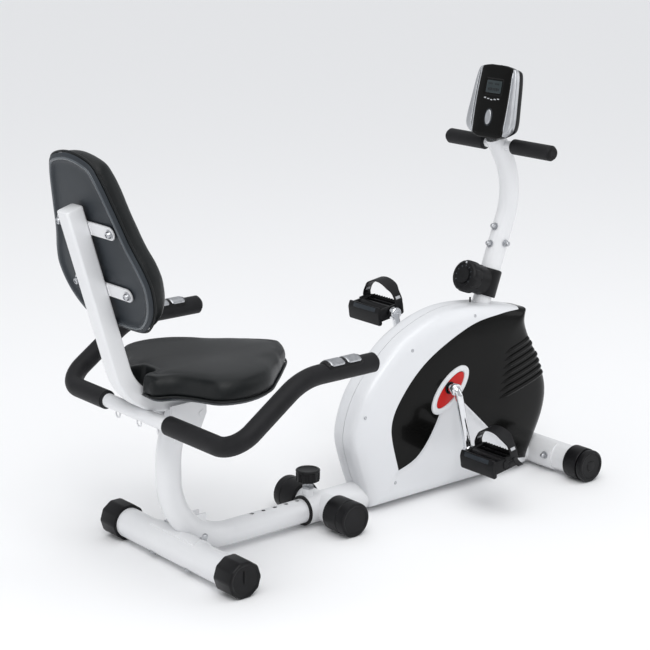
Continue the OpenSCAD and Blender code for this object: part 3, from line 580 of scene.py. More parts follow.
# along the arm: mm back, out and up
ARM = [(0, 30, 0), (0, 70, 0), (0, 79, 1.5), (1.8, 84.4, 9), (3.4, 87.2, 21), (12, 94.5, 82), (20, 101, 139)]
parts = []
for s in (-1, 1):
    path = [P(*p) for p in spline([(CRANK_X - s * a, s * b, CRANK_Z + s * c) for a, b, c in ARM], 7)]
    sc = [1.14 - 0.14 * min(1, max(0, k / (len(path) - 1) - 0.3) / 0.15) for k in range(len(path))]
    parts.append(sweep(path, ring(8.8, 28), scale=sc))
    parts.append(lathe([(6.2, -7.4), (12.2, -7.4), (13.6, -6.2), (14.0, -4.4), (14.0, 4.4), (13.6, 6.2),
                        (12.2, 7.4), (6.2, 7.4)], eye(s, s * 102), Vector((0, s, 0)), 48, ends=False))
    parts.append(lathe([(13.5, -6), (13.5, 3), (12.5, 4.2), (9, 4.6), (8.6, 3.0), (0.02, 2.6)],
                       P(CRANK_X, s * 79, CRANK_Z), Vector((0.02, s, 0)), 40))
add("crank_rod", *merge(*parts), "chrome", "crankset", ["crank"], smooth=40)
parts = []
for s in (-1, 1):
    c = eye(s, s * 100)
    parts.append(lathe([(6.0, -5), (6.0, 12.5), (9.2, 12.6), (9.2, 14.5), (6.0, 14.6), (6.0, 115)], c,
                       Vector((0, s, 0)), 32))
    parts.append(lathe([(9.6, 9.0), (9.6, 13.4)], c, Vector((0, s, 0)), 6))
    parts.append(lathe([(8.2, -6.5), (8.2, -3.2), (7.4, -2.8), (0.02, -2.6)], c, Vector((0, s, 0)), 6))
add("spindles", *merge(*parts), "chrome", "crankset", ["pedal_spindles"], smooth=30)

for s, tag in ((1, "left"), (-1, "right")):
    body = "pedal_l" if s == 1 else "pedal_r"
    th = math.radians(-8)
    ex = Vector((math.cos(th), 0, -math.sin(th)))
    ez = Vector((math.sin(th), 0, math.cos(th)))
    ey = Y.copy()
    c = eye(s, 0)
    y0, y1 = (113, 219) if s == 1 else (-219, -113)
    ym = (y0 + y1) / 2

    def at(x, y, z):
        return c + (ex * x + ey * y + ez * z) / 1000
    parts = []
    # tall rear rail with a bevelled upper edge, low front rail, both with gripping nubs
    bev = [(-37.9, -18.5), (-37.2, -21.4), (-35.4, -22.8), (-31.2, -22.9), (-29.4, -21.6), (-29, -19.5),
           (-29, 17), (-29.6, 18.5), (-31, 19), (-32.4, 18.4), (-37.2, 8.4), (-37.8, 6.4)]
    ends = ((y0 + 1, 0.90), (y0 + 2.2, 0.97), (y0 + 4, 1.0), (y1 - 4, 1.0), (y1 - 2.2, 0.97), (y1 - 1, 0.90))
    v = [at(-33.5 + (bx + 33.5) * g, y, -2 + (bz + 2) * g) for y, g in ends for bx, bz in bev]
    parts.append((v, capped(len(ends), len(bev))))
    parts.append(block(at(33.5, ym, 0), ex, ey, ez, (9, 104, 26), 2.6))
    for k in range(11):
        parts.append(block(at(33.5, ym - 42.5 + 8.5 * k, 13.2), ex, ey, ez, (6, 4, 3.4), 0.9, 2))
        parts.append(block(at(-24, ym - 42.5 + 8.5 * k, -4.6), ex, ey, ez, (5, 4, 5.6), 0.9, 2))
    for y in (y0 + 4, y1 - 4):
        parts.append(block(at(0, y, 0), ex, ey, ez, (70, 8, 28), 2.8))
    parts.append(lathe([(6.3, -53), (11.5, -53), (13, -51.5), (13, 51.5), (11.5, 53), (6.3, 53)],
                       at(0, ym, 0), ey, 40, ends=False))
    for x in (-20, 20):
        parts.append(block(at(x, ym, 0.5), ex, ey, ez, (3.4, 98, 20), 1.0, 2))
    parts.append(block(at(0, ym, -7), ex, ey, ez, (66, 98, 4), 1.0, 2))
    outer = y1 if s == 1 else y0
    parts.append(lathe([(9, -3), (9, 1.0), (8.0, 2.2), (5.0, 2.6), (4.2, 1.6), (0.02, 1.4)],
                       at(0, outer - s * 0.6, 0), ey * s, 32))
    # catch for the strap's adjusting end
    parts.append(block(at(10, outer - s * 1.5, 10), ex, ey, ez, (24, 7, 13), 2.0))
    add("pedal_body_" + tag, *merge(*parts), "black_plastic", body, ["pedal_" + tag], smooth=35)
    # a lighter grey sheet on the rear rail's bevelled edge: a painted highlight where the tread's rear edge
    # faces the light
    add("pedal_plate_" + tag, *block(at(-35.1, ym - s * 2, 12.8), (ex * 0.45 + ez * 0.893).normalized(), ey,
                                     (ez * 0.45 - ex * 0.893).normalized(), (9.5, 74, 1.0), 0.4, 2),
        "grey_plastic", body)
    # strap: a moulded band over the foot with adjusting slots and a tail
    hw, r_arc = 54.5, 57.3
    prof = [(-hw, 7), (-hw, 13)]
    a0 = math.asin(hw / r_arc)
    for k in range(41):
        a = -a0 + 2 * a0 * k / 40
        prof.append((r_arc * math.sin(a), 61 - r_arc + r_arc * math.cos(a)))
    prof += [(hw, 13), (hw, 7)]
    path = [at(22 + 0.05 * max(0.0, b - 12), ym + a, b) for a, b in prof]
    path = resample(path, 3)
    n = len(path)
    sec = rounded_rect(27, 2.8, 1.2, 4)
    v = []
    for i, p in enumerate(path):
        t = (path[min(i + 1, n - 1)] - path[max(i - 1, 0)]).normalized()
        up = t.cross(ex).normalized()
        u = i / (n - 1)
        w = 0.82 + 0.42 * smoothstep(0.2, 0.32, u) * (1 - smoothstep(0.68, 0.8, u))
        for a, b in sec:
            v.append(p + ex * (a * w / 1000) + up * (b / 1000))
    tail = [at(x, ym + s * (hw + out), z) for x, out, z in ((24, 0.5, 9), (25, 3, 1), (27, 8, -5),
                                                            (28, 14, -7))]
    end = sweep(spline([tuple(t) for t in tail], 5), rounded_rect(18, 3, 1.3, 4), up=tuple(ez))
    add("pedal_strap_" + tag, *merge((v, capped(n, len(sec))), end), "black_rubber", body, ["strap_" + tag],
        smooth=40)
    parts = []
    for u in (0.145, 0.855):
        i = int(u * (n - 1))
        p = path[i]
        t = (path[i + 1] - path[i - 1]).normalized()
        up = t.cross(ex).normalized()
        for q in (-1, 1):
            parts.append(block(p + up * (0.0013 * q), ex, t, up, (13, 6.5, 0.9), 0.4, 2))
    add("strap_slots_" + tag, *merge(*parts), "grey_print", body, slot="silver_plastic")

# ---- foot caps and rollers


def turned(name, at, axis, profile, mat, body, nodes=(), n=72, wobble=None, smooth=32):
    return add(name, *lathe(profile, at, axis, n, wobble=wobble), mat, body, nodes, smooth=smooth)


for s in (-1, 1):
    tag = "l" if s == 1 else "r"
    ax = Vector((0, s, 0))
    turned("mid_cap_" + tag, P(372, 0, FOOT_Z), ax, [(31.8, 51), (35.6, 51), (37.2, 52.5), (37.5, 55),
                                                   (37.5, 92.5), (36.4, 93.6), (36.4, 95.0), (37.5, 96.2),
                                                   (37.5, 112.5), (36.8, 115.3), (34.6, 116.8), (31.5, 117),
                                                   (29.5, 116.2), (28.6, 115), (0.02, 114.6)],
           "black_plastic", "frame", ["mid_foot_caps"])
    turned("front_cap_" + tag, P(1006, 0, FOOT_Z), ax, [(31.8, 141), (35.8, 141), (37.2, 142.4), (37.5, 145),
                                                      (37.5, 177.6), (36.6, 179), (31, 179.4), (10, 179.4)],
           "black_plastic", "frame", ["front_foot_caps"])
    turned("front_roller_" + tag, P(1006, 0, FOOT_Z), ax, [(9, 180.9), (31, 181.1), (34.8, 181.4),
                                                         (36.3, 183), (36.6, 185.5), (36.6, 192),
                                                         (36.0, 195), (34.2, 196.6), (31.0, 197),
                                                         (29.4, 196.0), (28.8, 194.8), (12, 194.6),
                                                         (11, 196), (8.5, 196.3), (0.02, 196.4)],
           "black_plastic", "roller_" + tag, ["front_roller_" + ("left" if s == 1 else "right")])

    def ten(a, r, h):
        if r < 33:
            return r
        k = (a + math.pi / 10) % (math.pi / 5) - math.pi / 10
        return min(37.5 / math.cos(math.pi / 10 - abs(k)), 38.9) * r / 37.5
    turned("rear_cap_" + tag, P(0, 0, FOOT_Z), ax, [(31.9, 174), (34.6, 174), (36.9, 175.2), (37.5, 177.4),
                                                  (37.5, 221.5), (36.9, 225.2), (35.2, 227.6), (33.6, 228),
                                                  (30.4, 227.2), (29.0, 226.2), (0.02, 225.8)],
           "black_plastic", "rear_cap_" + tag, ["rear_cap_" + ("left" if s == 1 else "right")], n=120,
           wobble=ten, smooth=26)
    # a raised pointer on the levelling cap
    add("rear_cap_mark_" + tag, *block(P(-2, s * 227.0, 44), X, Z, Vector((0, s, 0)), (2.4, 26, 1.6), 0.5, 2),
        "black_plastic", "rear_cap_" + tag)


def flutes(a, r, h):
    """Twelve ribs round the lock knob's side."""
    return r + (1.9 * max(0.0, math.cos(12 * a)) ** 0.7 - 0.4 if 1 < h < 21 and r > 20 else 0)


# seat lock knob
turned("lock_knob", P(338, 0, 101.25), Z, [(8, 0.3), (12, 0), (22.6, 0.4), (24.2, 2), (24.4, 12),
                                           (24.6, 20.4), (25.6, 21.4), (26.2, 23), (25.8, 25), (24.4, 26),
                                           (21.5, 26.2), (19.8, 25.2), (18.5, 24.8), (0.02, 24.6)],
       "black_plastic", "lock_pin", ["pin_knob"], n=144, wobble=flutes)

# ---- handlebar, grips, pulse plates


def bar_path(s, skip, extra=0.0):
    """Middle line of one side of the handlebar from skip mm off the middle; s is +1 for the rider's left."""
    m = frame_of((-71, -skip, 329), ("Y", -34.7), ("X", 90))
    pts = bent_path(m, [(290.7 - 52 - skip, 52, 90, 0), (103, 134, 34.7, -90), (133 + extra, 0, 0, 0)])
    return [Vector((p.x, -s * p.y, p.z)) for p in pts]


BAR_END = Vector((265.7, 290.7, 441.1))
for s, tag, skip in ((-1, "right", 78), (1, "left", 128)):
    add("grip_foam_" + tag, *sleeve(bar_path(s, skip, 5), 19.5, 44), "foam", "seat_frame",
        ["handle_grips"] if s == -1 else [], smooth=40)
parts, plates = [], []
for s in (-1, 1):
    c = P(BAR_END.x, s * BAR_END.y, BAR_END.z)
    # moulded carrier saddled over the grip, with rounded ends
    n_len, n_arc = 30, 22
    v, f = [], sheet(n_len + 1, n_arc + 1)
    for i in range(n_len + 1):
        u = i / n_len
        x = -124 + 88 * u
        e = min(u, 1 - u) * 88
        k = math.sqrt(max(0.0, 1 - (max(0.0, 11 - e) / 11) ** 2))
        for j in range(n_arc + 1):
            a = math.radians(-66 + 132 * j / n_arc) * (0.55 + 0.45 * k)
            w = abs(j / n_arc * 2 - 1)
            r = 19.3 + (4.4 * (1 - w ** 6)) * (0.25 + 0.75 * k)
            v.append(c + Vector((x, s * r * math.sin(a), r * math.cos(a))) / 1000)
    base = len(v)
    rim = ([j for j in range(n_arc + 1)] + [i * (n_arc + 1) + n_arc for i in range(1, n_len + 1)]
           + [n_len * (n_arc + 1) + j for j in range(n_arc - 1, -1, -1)]
           + [i * (n_arc + 1) for i in range(n_len - 1, 0, -1)])
    for q in rim:
        d = v[q] - c
        flat = Vector((0, d.y, d.z))
        v.append(c + Vector((d.x, 0, 0)) + flat * (17.5 / 1000 / flat.length))
    for k in range(len(rim)):
        a, b = rim[k], rim[(k + 1) % len(rim)]
        f.append((a, b, base + (k + 1) % len(rim), base + k))
    parts.append((v, f))
    # two curved sensing plates with rounded corners, divided by a black bridge
    for x0, x1 in ((-117, -83.5), (-76.5, -43)):
        v = []
        nx, na = 16, 18
        for i in range(nx + 1):
            u = i / nx
            x = x0 + (x1 - x0) * u
            e = min(u, 1 - u) * (x1 - x0)
            k = 0.80 + 0.20 * math.sqrt(max(0.0, 1 - (max(0.0, 6 - e) / 6) ** 2))
            for j in range(na + 1):
                w = 2 * j / na - 1
                a = math.radians(49 * w) * k
                edge = min(e, (1 - abs(w)) * 17)
                r = 23.9 + 0.9 * min(1.0, edge / 1.6) ** 0.5
                v.append(c + Vector((x, s * r * math.sin(a), r * math.cos(a))) / 1000)
        plates.append((v, sheet(nx + 1, na + 1)))
add("pulse_carriers", *merge(*parts), "black_plastic", "seat_frame", ["pulse_housings"], smooth=40)
add("pulse_contacts", *merge(*plates), "steel", "seat_frame", ["pulse_plates"], smooth=50,
    slot="silver_plastic")

# ---- back post, cross straps

LEAN = 16.2
STRAP_RISE = (167, 294)
post = [P(175, 0, 353), P(-23, 0, 353)]
for k in range(1, 25):
    a = math.radians((90 - LEAN) * k / 24)
    post.append(P(-23 - 111 * math.sin(a), 0, 464 - 111 * math.cos(a)))
low = post[-1]
up_dir = Vector((-math.sin(math.radians(LEAN)), 0, math.cos(math.radians(LEAN))))
post += [low + up_dir * (0.338 * k / 8) for k in range(1, 9)]
tip = post[-1]
post += [tip + up_dir * d for d in (0.0012, 0.0022, 0.0028)]
scale = [1.0] * len(post)
scale[-3:] = [0.985, 0.945, 0.88]
scale[0] = 0.93
post.insert(1, post[0] + Vector((-0.0025, 0, 0)))
scale.insert(1, 1.0)
parts = [sweep(post, rounded_rect(38, 38, 5.5), scale=scale)]
front = Vector((math.cos(math.radians(LEAN)), 0, math.sin(math.radians(LEAN))))
for z in STRAP_RISE:
    c = low + up_dir * (z / 1000) + front * 0.021
    sec = []
    for sgn in (1, -1):
        for k in range(11):
            a = math.radians(-90 * sgn + 18 * k)
            sec.append((sgn * 82 + 13.4 * math.cos(a), 13.4 * math.sin(a)))
    v = []
    for h, sc in ((-2.0, 0.97), (-1.5, 1.0), (1.5, 1.0), (2.0, 0.97)):
        for a, b in sec:
            px = a if abs(a) < 82 else math.copysign(82 + (abs(a) - 82) * sc, a)
            v.append(c + Y * (px / 1000) + up_dir * (b * sc / 1000) + front * (h / 1000))
    parts.append((v, capped(4, len(sec))))
    for sgn in (-1, 1):
        # weld bead where the strap meets the tube
        line = [c + Y * (sgn * 19.6 / 1000) + up_dir * (t / 1000) - front * 0.0022
                for t in np.linspace(-12, 12, 25)]
        parts.append(sweep(line, ring(1.9, 8), scale=[1 + 0.18 * math.sin(k * 2.1) for k in range(25)]))
add("back_post_tube", *merge(*parts), "frame_white", "seat_frame", ["back_post"], smooth=40)
parts = []
for z in STRAP_RISE:
    for y in (-85, 85):
        c = low + up_dir * (z / 1000) + front * 0.019 + Y * (y / 1000)
        parts.append(lathe([(9.4, -0.1), (9.5, -1.0), (9.0, -1.7), (7.3, -1.9), (7.1, -2.6), (6.9, -5.6),
                            (6.2, -7.4), (4.6, -8.4), (3.0, -8.7), (2.8, -6.9), (0.02, -6.7)], c, front,
                           32))
for x in (21, 155):
    for y in (-80, 80):
        parts.append(lathe([(8.4, -0.1), (8.5, -1.4), (6.8, -1.7), (6.6, -6.4), (5.4, -7.6), (0.02, -7.8)],
                           P(x, y, 372), Z, 24))
add("cushion_bolt_heads", *merge(*parts), "steel", "seat_frame", ["cushion_bolts"], smooth=30)

# ---- cushions

BACK_HALF = [[516, 0], [519, 80], [538, 118], [575, 148], [620, 160], [655, 153], [705, 130], [765, 110],
             [825, 88], [855, 64], [868, 0]]
SEAT_HALF = [[-98, 40], [-98, 70], [-60, 92], [-38, 128], [-14, 176], [40, 193], [105, 176], [160, 130],
             [215, 78], [258, 34], [276, 0]]


def outline(half, k=8):
    """Smooth closed outline from a half outline, as (along, across) points counter to each other."""
    one = [tuple(p) for p in spline([(half[1][0], -half[1][1])] + [tuple(p) for p in half]
                                    + [(half[-2][0], -half[-2][1])], k)]
    one = one[k:-k]
    return np.array(one + [(a, -b) for a, b in one[-2:0:-1]])


def even(poly, step):
    """Closed outline resampled about every step mm."""
    p = np.vstack([poly, poly[:1]])
    d = np.concatenate([[0], np.cumsum(np.linalg.norm(np.diff(p, axis=0), axis=1))])
    n = int(d[-1] / step)
    t = np.linspace(0, d[-1], n + 1)[:-1]
    return np.column_stack([np.interp(t, d, p[:, 0]), np.interp(t, d, p[:, 1])])


def stretch_back(poly):
    q = poly.copy()
    q[:, 0] = 600 + (q[:, 0] - 600) / math.cos(math.radians(LEAN))
    return q


def back_place(a, b, t):
    """Point of the back rest: a up the rest, b across, t towards the rider, in mm."""
    return P(-147, 0, 600) + up_dir * ((a - 600) / 1000) + Y * (b / 1000) + front * (t / 1000)


def seat_place(a, b, t):
    return P(a, b, 382 + t)


def shrink(poly, d):
    """Outline moved inwards by d mm."""
    p = np.asarray(poly)
    if not d:
        return p
    t = np.roll(p, -1, 0) - np.roll(p, 1, 0)
    t /= np.linalg.norm(t, axis=1)[:, None]
    n = np.column_stack([-t[:, 1], t[:, 0]])
    area = 0.5 * np.sum(p[:, 0] * np.roll(p[:, 1], -1) - np.roll(p[:, 0], -1) * p[:, 1])
    return p + n * d * (1 if area > 0 else -1)


def grid_in(outline, xs, ys, clear):
    """Grid points inside an outline, more than clear mm from it."""
    xs, ys = np.meshgrid(xs, ys)
    g = np.column_stack([xs.ravel(), ys.ravel()])
    g = g[inside(outline, g)]
    return g[edge_distance(outline, g) > clear]


def filled(outline, g, first, place, height):
    """Triangles over an outline and the points g in it, at height(x, y, distance to the edge)."""
    n = len(outline)
    v2, _, tris, *_ = delaunay_2d_cdt([Vector(p) for p in outline] + [Vector(p) for p in g],
                                      [(i, (i + 1) % n) for i in range(n)], [], 0, 1e-4)
    v2 = np.array([tuple(p) for p in v2])
    dist = edge_distance(outline, v2)
    return [place(x, y, height(x, y, d)) for (x, y), d in zip(v2, dist)], kept(outline, v2, tris, first)


def pad_mesh(poly, thick, crown, inset, dish):
    """Closed pad: rings from the bottom edge up and over, then a triangulated crown."""
    levels = []
    for k in range(7):
        a = math.pi / 2 * k / 6
        levels.append((inset * (1 - math.sin(a)) * 0.55 + 2.0, thick * 0.30 * (1 - math.cos(a)) * 0.9 + 0.6))
    for k in range(1, 9):
        a = math.pi / 2 * k / 8
        levels.append((2.0 + inset * (1 - math.cos(a)) * 1.5, thick * 0.30 + (thick * 0.62) * math.sin(a)))
    v = [(a, b, h) for d, h in levels for a, b in shrink(poly, d)]
    f = skin(len(levels), len(poly))
    (d0, h0), (d1, h1) = levels[0], levels[-1]
    top = shrink(poly, d1)
    g = grid_in(top, *(np.arange(top[:, k].min(), top[:, k].max(), 7) for k in (0, 1)), 5)
    for rows, height in ((top, lambda a, b, d: h1 + crown * (1 - math.exp(-d / 45)) + dish(a, b)),
                         (shrink(poly, d0), lambda a, b, d: h0)):
        more, tris = filled(rows, g, len(v), lambda a, b, h: (a, b, h), height)
        v += more
        f += tris
    return v, f


def make_pad(name, poly, thick, place, crown, inset, node, cap, dish, extra=None):
    """A cushion blown up with a cloth simulation in which no point moves more than cap mm."""
    v, f = pad_mesh(poly, thick, crown, inset, dish)
    me = bpy.data.meshes.new(name)
    me.from_pydata([tuple(c / 1000 for c in p) for p in v], [], f)
    clean(me, 2e-4)
    o = new_object(name, me)
    r = o.modifiers.new("voxels", "REMESH")
    r.mode = "VOXEL"
    r.voxel_size = 0.005
    r.adaptivity = 0
    bake(o)
    pts = start = np.array([tuple(p.co) for p in o.data.vertices]) * 1000
    c = o.modifiers.new("cloth", "CLOTH")
    c.settings.quality = 6
    c.settings.mass = 0.2
    c.settings.tension_stiffness = 14
    c.settings.compression_stiffness = 14
    c.settings.bending_stiffness = 0.4
    c.settings.use_pressure = True
    c.settings.uniform_pressure_force = 4
    c.settings.effector_weights.gravity = 0
    c.collision_settings.use_collision = False
    c.point_cache.frame_start = 1
    c.point_cache.frame_end = 20
    for fr in range(1, 21):
        SCENE.frame_set(fr)
    dg = bpy.context.evaluated_depsgraph_get()
    ev = o.evaluated_get(dg)
    new = bpy.data.meshes.new_from_object(ev)
    o.modifiers.clear()
    end = np.array([tuple(p.co) for p in new.vertices]) * 1000
    if len(end) == len(start):
        move = end - start
        link = np.array([tuple(e.vertices) for e in o.data.edges])
        near = np.maximum(np.bincount(link.ravel(), minlength=len(move)), 1)[:, None]
        for _ in range(10):
            total = np.zeros_like(move)
            np.add.at(total, link[:, 0], move[link[:, 1]])
            np.add.at(total, link[:, 1], move[link[:, 0]])
            move = 0.4 * move + 0.6 * total / near
        size = np.linalg.norm(move, axis=1)
        move *= (np.minimum(size, cap) / np.maximum(size, 1e-6))[:, None]
        pts = start + move
    SCENE.frame_set(1)
    pts[:, 2] = np.clip(pts[:, 2], 0.6, None)
    if extra:
        pts = extra(pts)
    for p, q in zip(o.data.vertices, pts):
        p.co = place(*q)
    s = o.modifiers.new("smooth", "SUBSURF")
    s.levels = s.render_levels = 1
    bake(o)
    o.data.materials.clear()
    o.data.materials.append(M["vinyl"])
    for p in o.data.polygons:
        p.use_smooth = True
    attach(o, "seat_frame")
    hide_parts(node)


def bake(o):
    dg = bpy.context.evaluated_depsgraph_get()
    me = bpy.data.meshes.new_from_object(o.evaluated_get(dg))
    old = o.data
    o.modifiers.clear()
    o.data = me
    bpy.data.meshes.remove(old)


def piping(name, poly, d, h, r, place, mat="vinyl", n=12, slot=None):
    """A cord of radius r round an outline, d mm in from it and h mm up."""
    pts = [place(a, b, h) for a, b in even(shrink(poly, d), 5)]
    add(name, *sweep(pts, ring(r, n), closed=True), mat, "seat_frame", smooth=60, slot=slot)

back_poly = even(stretch_back(outline(BACK_HALF)), 6)
half = [(-59, 0), (-59, 14), (-62, 20.5), (-70, 23.5), (-88, 24), (-95, 27), (-98, 34)]
half += [tuple(p) for p in spline([tuple(p) for p in SEAT_HALF], 8)]
seat_poly = even(np.array(half + [(a, -b) for a, b in half[-2:0:-1]]), 5)


def back_dish(a, b):
    """A raised bolster up each side and a shallow hollow for the spine."""
    return -5.0 * math.exp(-(b / 42.0) ** 2)


def seat_dish(a, b):
    rear = 1 - smoothstep(-100, -10, np.array(a))
    dip = 4.5 * math.exp(-((b / 62.0) ** 2 + ((a - 45) / 105.0) ** 2))
    return -dip - 3.0 * smoothstep(170, 262, np.array(a)) - 3 * rear


def creases(pts):
    """Pulled vinyl at the seat's flanks: soft wrinkles that run down and forward near the edge."""
    out = pts.copy()
    d = edge_distance(seat_poly, pts[:, :2])
    w = np.exp(-((d - 4) / 16.0) ** 2) * smoothstep(4, 16, pts[:, 2]) * (1 - smoothstep(34, 50, pts[:, 2]))
    phase = (pts[:, 0] * 0.9 + np.abs(pts[:, 1]) * 0.5) / 15.5
    phase = phase + 0.8 * np.sin(pts[:, 0] / 31.0) + pts[:, 2] / 24.0
    amp = 0.12 + 0.75 * smoothstep(120, 215, pts[:, 0])
    n = pts[:, :2] - np.array([80.0, 0.0])
    n /= np.maximum(np.linalg.norm(n, axis=1), 1)[:, None]
    out[:, :2] += n * (np.sin(phase * 2 * math.pi / 2.4) * w * amp)[:, None]
    # tight edge where the pad is cut round the back post
    cut = np.array([(p, q * s) for s in (1, -1) for p, q in half[:7]])
    cut = np.vstack([np.linspace(cut[i], cut[i + 1], 8) for i in range(len(cut) - 1) if i != 6])
    gap = np.linalg.norm(out[:, None, :2] - cut[None], axis=2)
    k = gap.argmin(1)
    dn = gap[np.arange(len(out)), k]
    to = (cut[k] - out[:, :2]) / np.maximum(dn, 1e-6)[:, None]
    shift = np.where(dn < 20, 0.8 * np.maximum(dn - 2, 0), np.clip(14.4 * (1 - (dn - 20) / 40), 0, None))
    shift *= 1 - smoothstep(0, 12, dn - d)
    out[:, :2] += to * shift[:, None]
    return out


make_pad("back_cushion", back_poly, 42, back_place, 6.5, 15, "back_pad", 6, back_dish)
make_pad("seat_cushion", seat_poly, 46, seat_place, 4.0, 12, "seat_pad", 3.2, seat_dish, creases)
piping("back_piping", back_poly, 3.4, 2.2, 2.3, back_place)
piping("seat_piping", seat_poly, 3.2, 3.4, 2.4, seat_place)

# back shell: blow-moulded panel with a raised rounded border
shell_levels = [(6.0, 0.0), (5.0, -1.2), (5.2, -3.0), (7.0, -4.6), (10.5, -6.0), (14.5, -6.9), (18.5, -6.8),
                (21.5, -5.6), (23.5, -4.0), (26, -3.1), (30, -2.9)]
shell_v = [back_place(a, b, h) for d, h in shell_levels for a, b in shrink(back_poly, d)]
inner = shrink(back_poly, 30)
g = grid_in(inner, np.arange(500, 890, 9), np.arange(-160, 161, 9), 5)
more, tris = filled(inner, g, len(shell_v), back_place, lambda a, b, d: -2.9 - 2.0 * (1 - math.exp(-d / 30)))
# the border bead is the shell's grey plastic made lighter: a painted highlight along the raised rounded
# border
piping("back_shell_bead", back_poly, 14.5, -5.9, 2.9, back_place, "bead_plastic", 14, "grey_plastic")
shell = add("back_shell_panel", shell_v + more, skin(len(shell_levels), len(back_poly)) + tris,
            "grey_plastic", "seat_frame", ["back_shell"], smooth=45)
clean(shell.data, 1e-5)

# ---- console

LEAN_F = math.radians(12)
CON_X = Vector((math.cos(LEAN_F), 0, -math.sin(LEAN_F)))
CON_Z = Vector((math.sin(LEAN_F), 0, math.cos(LEAN_F)))
CON_0 = P(837, 0, 782)
CONSOLE_HALF = [[0, 26], [14, 60], [32, 71], [75, 68], [145, 58], [158, 40], [163, 0]]


def con(d, y, h):
    """Point of the console: d mm behind its face, y across, h up the face."""
    return CON_0 + CON_X * (d / 1000) + Y * (y / 1000) + CON_Z * (h / 1000)


PROFILE = np.array([tuple(p) for p in spline([(-0.001, 0)] + CONSOLE_HALF, 7)])
CON_POLY = even(np.vstack([PROFILE, np.column_stack([PROFILE[-2:0:-1, 0], -PROFILE[-2:0:-1, 1]])]), 3)


def plate(poly, rings, place, n_grid=6.0, height=None):
    """Closed-edge plate: rings are (inset, depth); the last ring is filled, at a height that may vary."""
    v = [place(a, b, h) for d, h in rings for a, b in shrink(poly, d)]
    last = shrink(poly, rings[-1][0])
    g = grid_in(last, *(np.arange(last[:, k].min(), last[:, k].max(), n_grid) for k in (0, 1)), n_grid * 0.5)
    more, tris = filled(last, g, len(v), place,
                        lambda a, b, d: rings[-1][1] + (height(a, b, d) if height else 0.0))
    return v + more, skin(len(rings), len(poly)) + tris


def con_place(a, b, d):
    return con(d, b, a)


# rear shell, rounded towards the back
middle = np.array([80.0, 0.0])
rear_rings = [(0, 13.2), (0.2, 20), (1.2, 25), (3.6, 30), (7.6, 34), (12.5, 36.8), (19, 38.0)]
add("console_rear", *plate(middle + (CON_POLY - middle) * 0.985, rear_rings, con_place, 8),
    "black_plastic", "frame", ["console_back"], smooth=50)

# silver cheeks: two curved side bars, thicker in the middle of their height
parts, strips = [], []
for s in (-1, 1):
    hs = np.linspace(3, 158, 60)
    outer = np.interp(hs, PROFILE[:, 0], PROFILE[:, 1])
    inner = 45.5 + 3.0 * np.sin((hs - 3) / 155 * math.pi)
    ok = outer > inner + 1.2
    hs, outer, inner = hs[ok], outer[ok], inner[ok]
    poly = [(h, s * o) for h, o in zip(hs, outer)] + [(h, s * i) for h, i in zip(hs[::-1], inner[::-1])]
    poly = even(np.array(poly), 2.6)
    parts.append(plate(poly, [(0, 13.4), (0, 6.5), (0.4, 4.6), (1.3, 3.2), (2.8, 2.2)], con_place, 5,
                       lambda a, b, d: -1.6 * (1 - math.exp(-d / 5))))
    # a brighter slim strip beside the face
    hs2 = np.linspace(20, 148, 40)
    line = [con(1.0, s * (49.5 + 3.0 * math.sin((h - 3) / 155 * math.pi)), h) for h in hs2]
    strips.append(sweep(line, rounded_rect(3.2, 3.4, 1.2, 3), up=tuple(-CON_X),
                        scale=[min(1.0, 0.3 + 0.25 * min(k, 39 - k)) for k in range(40)]))
add("console_side_bars", *merge(*parts), "silver_plastic", "frame", ["console_cheeks"], smooth=45)
add("console_trim", *merge(*strips), "chrome", "frame", smooth=45, slot="silver_plastic")

# black face, gently crowned, with a recess for the display
hs = np.linspace(1.5, 161, 64)
bulge = 46.0 + 3.0 * np.sin((hs - 3) / 155 * math.pi)
outer = np.minimum(np.interp(hs, PROFILE[:, 0], PROFILE[:, 1]) - 1.4, bulge)
poly = even(np.array([*zip(hs, outer), *zip(hs[::-1], -outer[::-1])]), 2.6)


def face_height(a, b, d):
    lift = -2.4 * (1 - math.exp(-d / 12))
    if 94 < a < 131 and abs(b) < 27:
        lift += 1.5 * min(1.0, min(a - 94, 131 - a, 27 - abs(b)) / 1.5)
    return lift


face = plate(poly, [(0, 13.0), (0, 4.4), (0.5, 3.2), (1.5, 2.4), (3.0, 1.9)], con_place, 2.4, face_height)
add("console_panel", *face, "gloss_black", "frame", ["console_face"], smooth=30)
# display window and the segments it shows as plain bars
lcd = rounded_rect(46, 28, 3, 5)
lcd_poly = np.array([(112.5 + b, a) for a, b in lcd])
add("display_window", *plate(lcd_poly, [(0, 2.0), (0.4, 0.5), (1.0, 0.2)], con_place, 6), "lcd", "frame",
    smooth=30, slot="gloss_black")
parts = []
for y0 in (-14, 6):
    for k in range(4):
        parts.append(block(con(-0.15, y0 + k * 3.4, 119), Y, CON_Z, CON_X, (1.9, 3.8, 0.3), 0.12, 1))
for k in range(7):
    parts.append(block(con(-0.15, -15 + k * 5, 107), Y, CON_Z, CON_X, (3.6, 6.2 if k % 3 else 4.4, 0.3),
                       0.12, 1))
add("display_segments", *merge(*parts), "lcd_dark", "frame", slot="gloss_black")
parts = []
for yy in (-20, -10, 0, 10, 20):
    parts.append(block(con(-0.5, yy, 84 + 3 * abs(yy) / 20), Y, CON_Z, CON_X, (6.4, 2.4, 1.0), 0.4, 2))
add("display_marks", *merge(*parts), "grey_print", "frame", slot="silver_plastic")
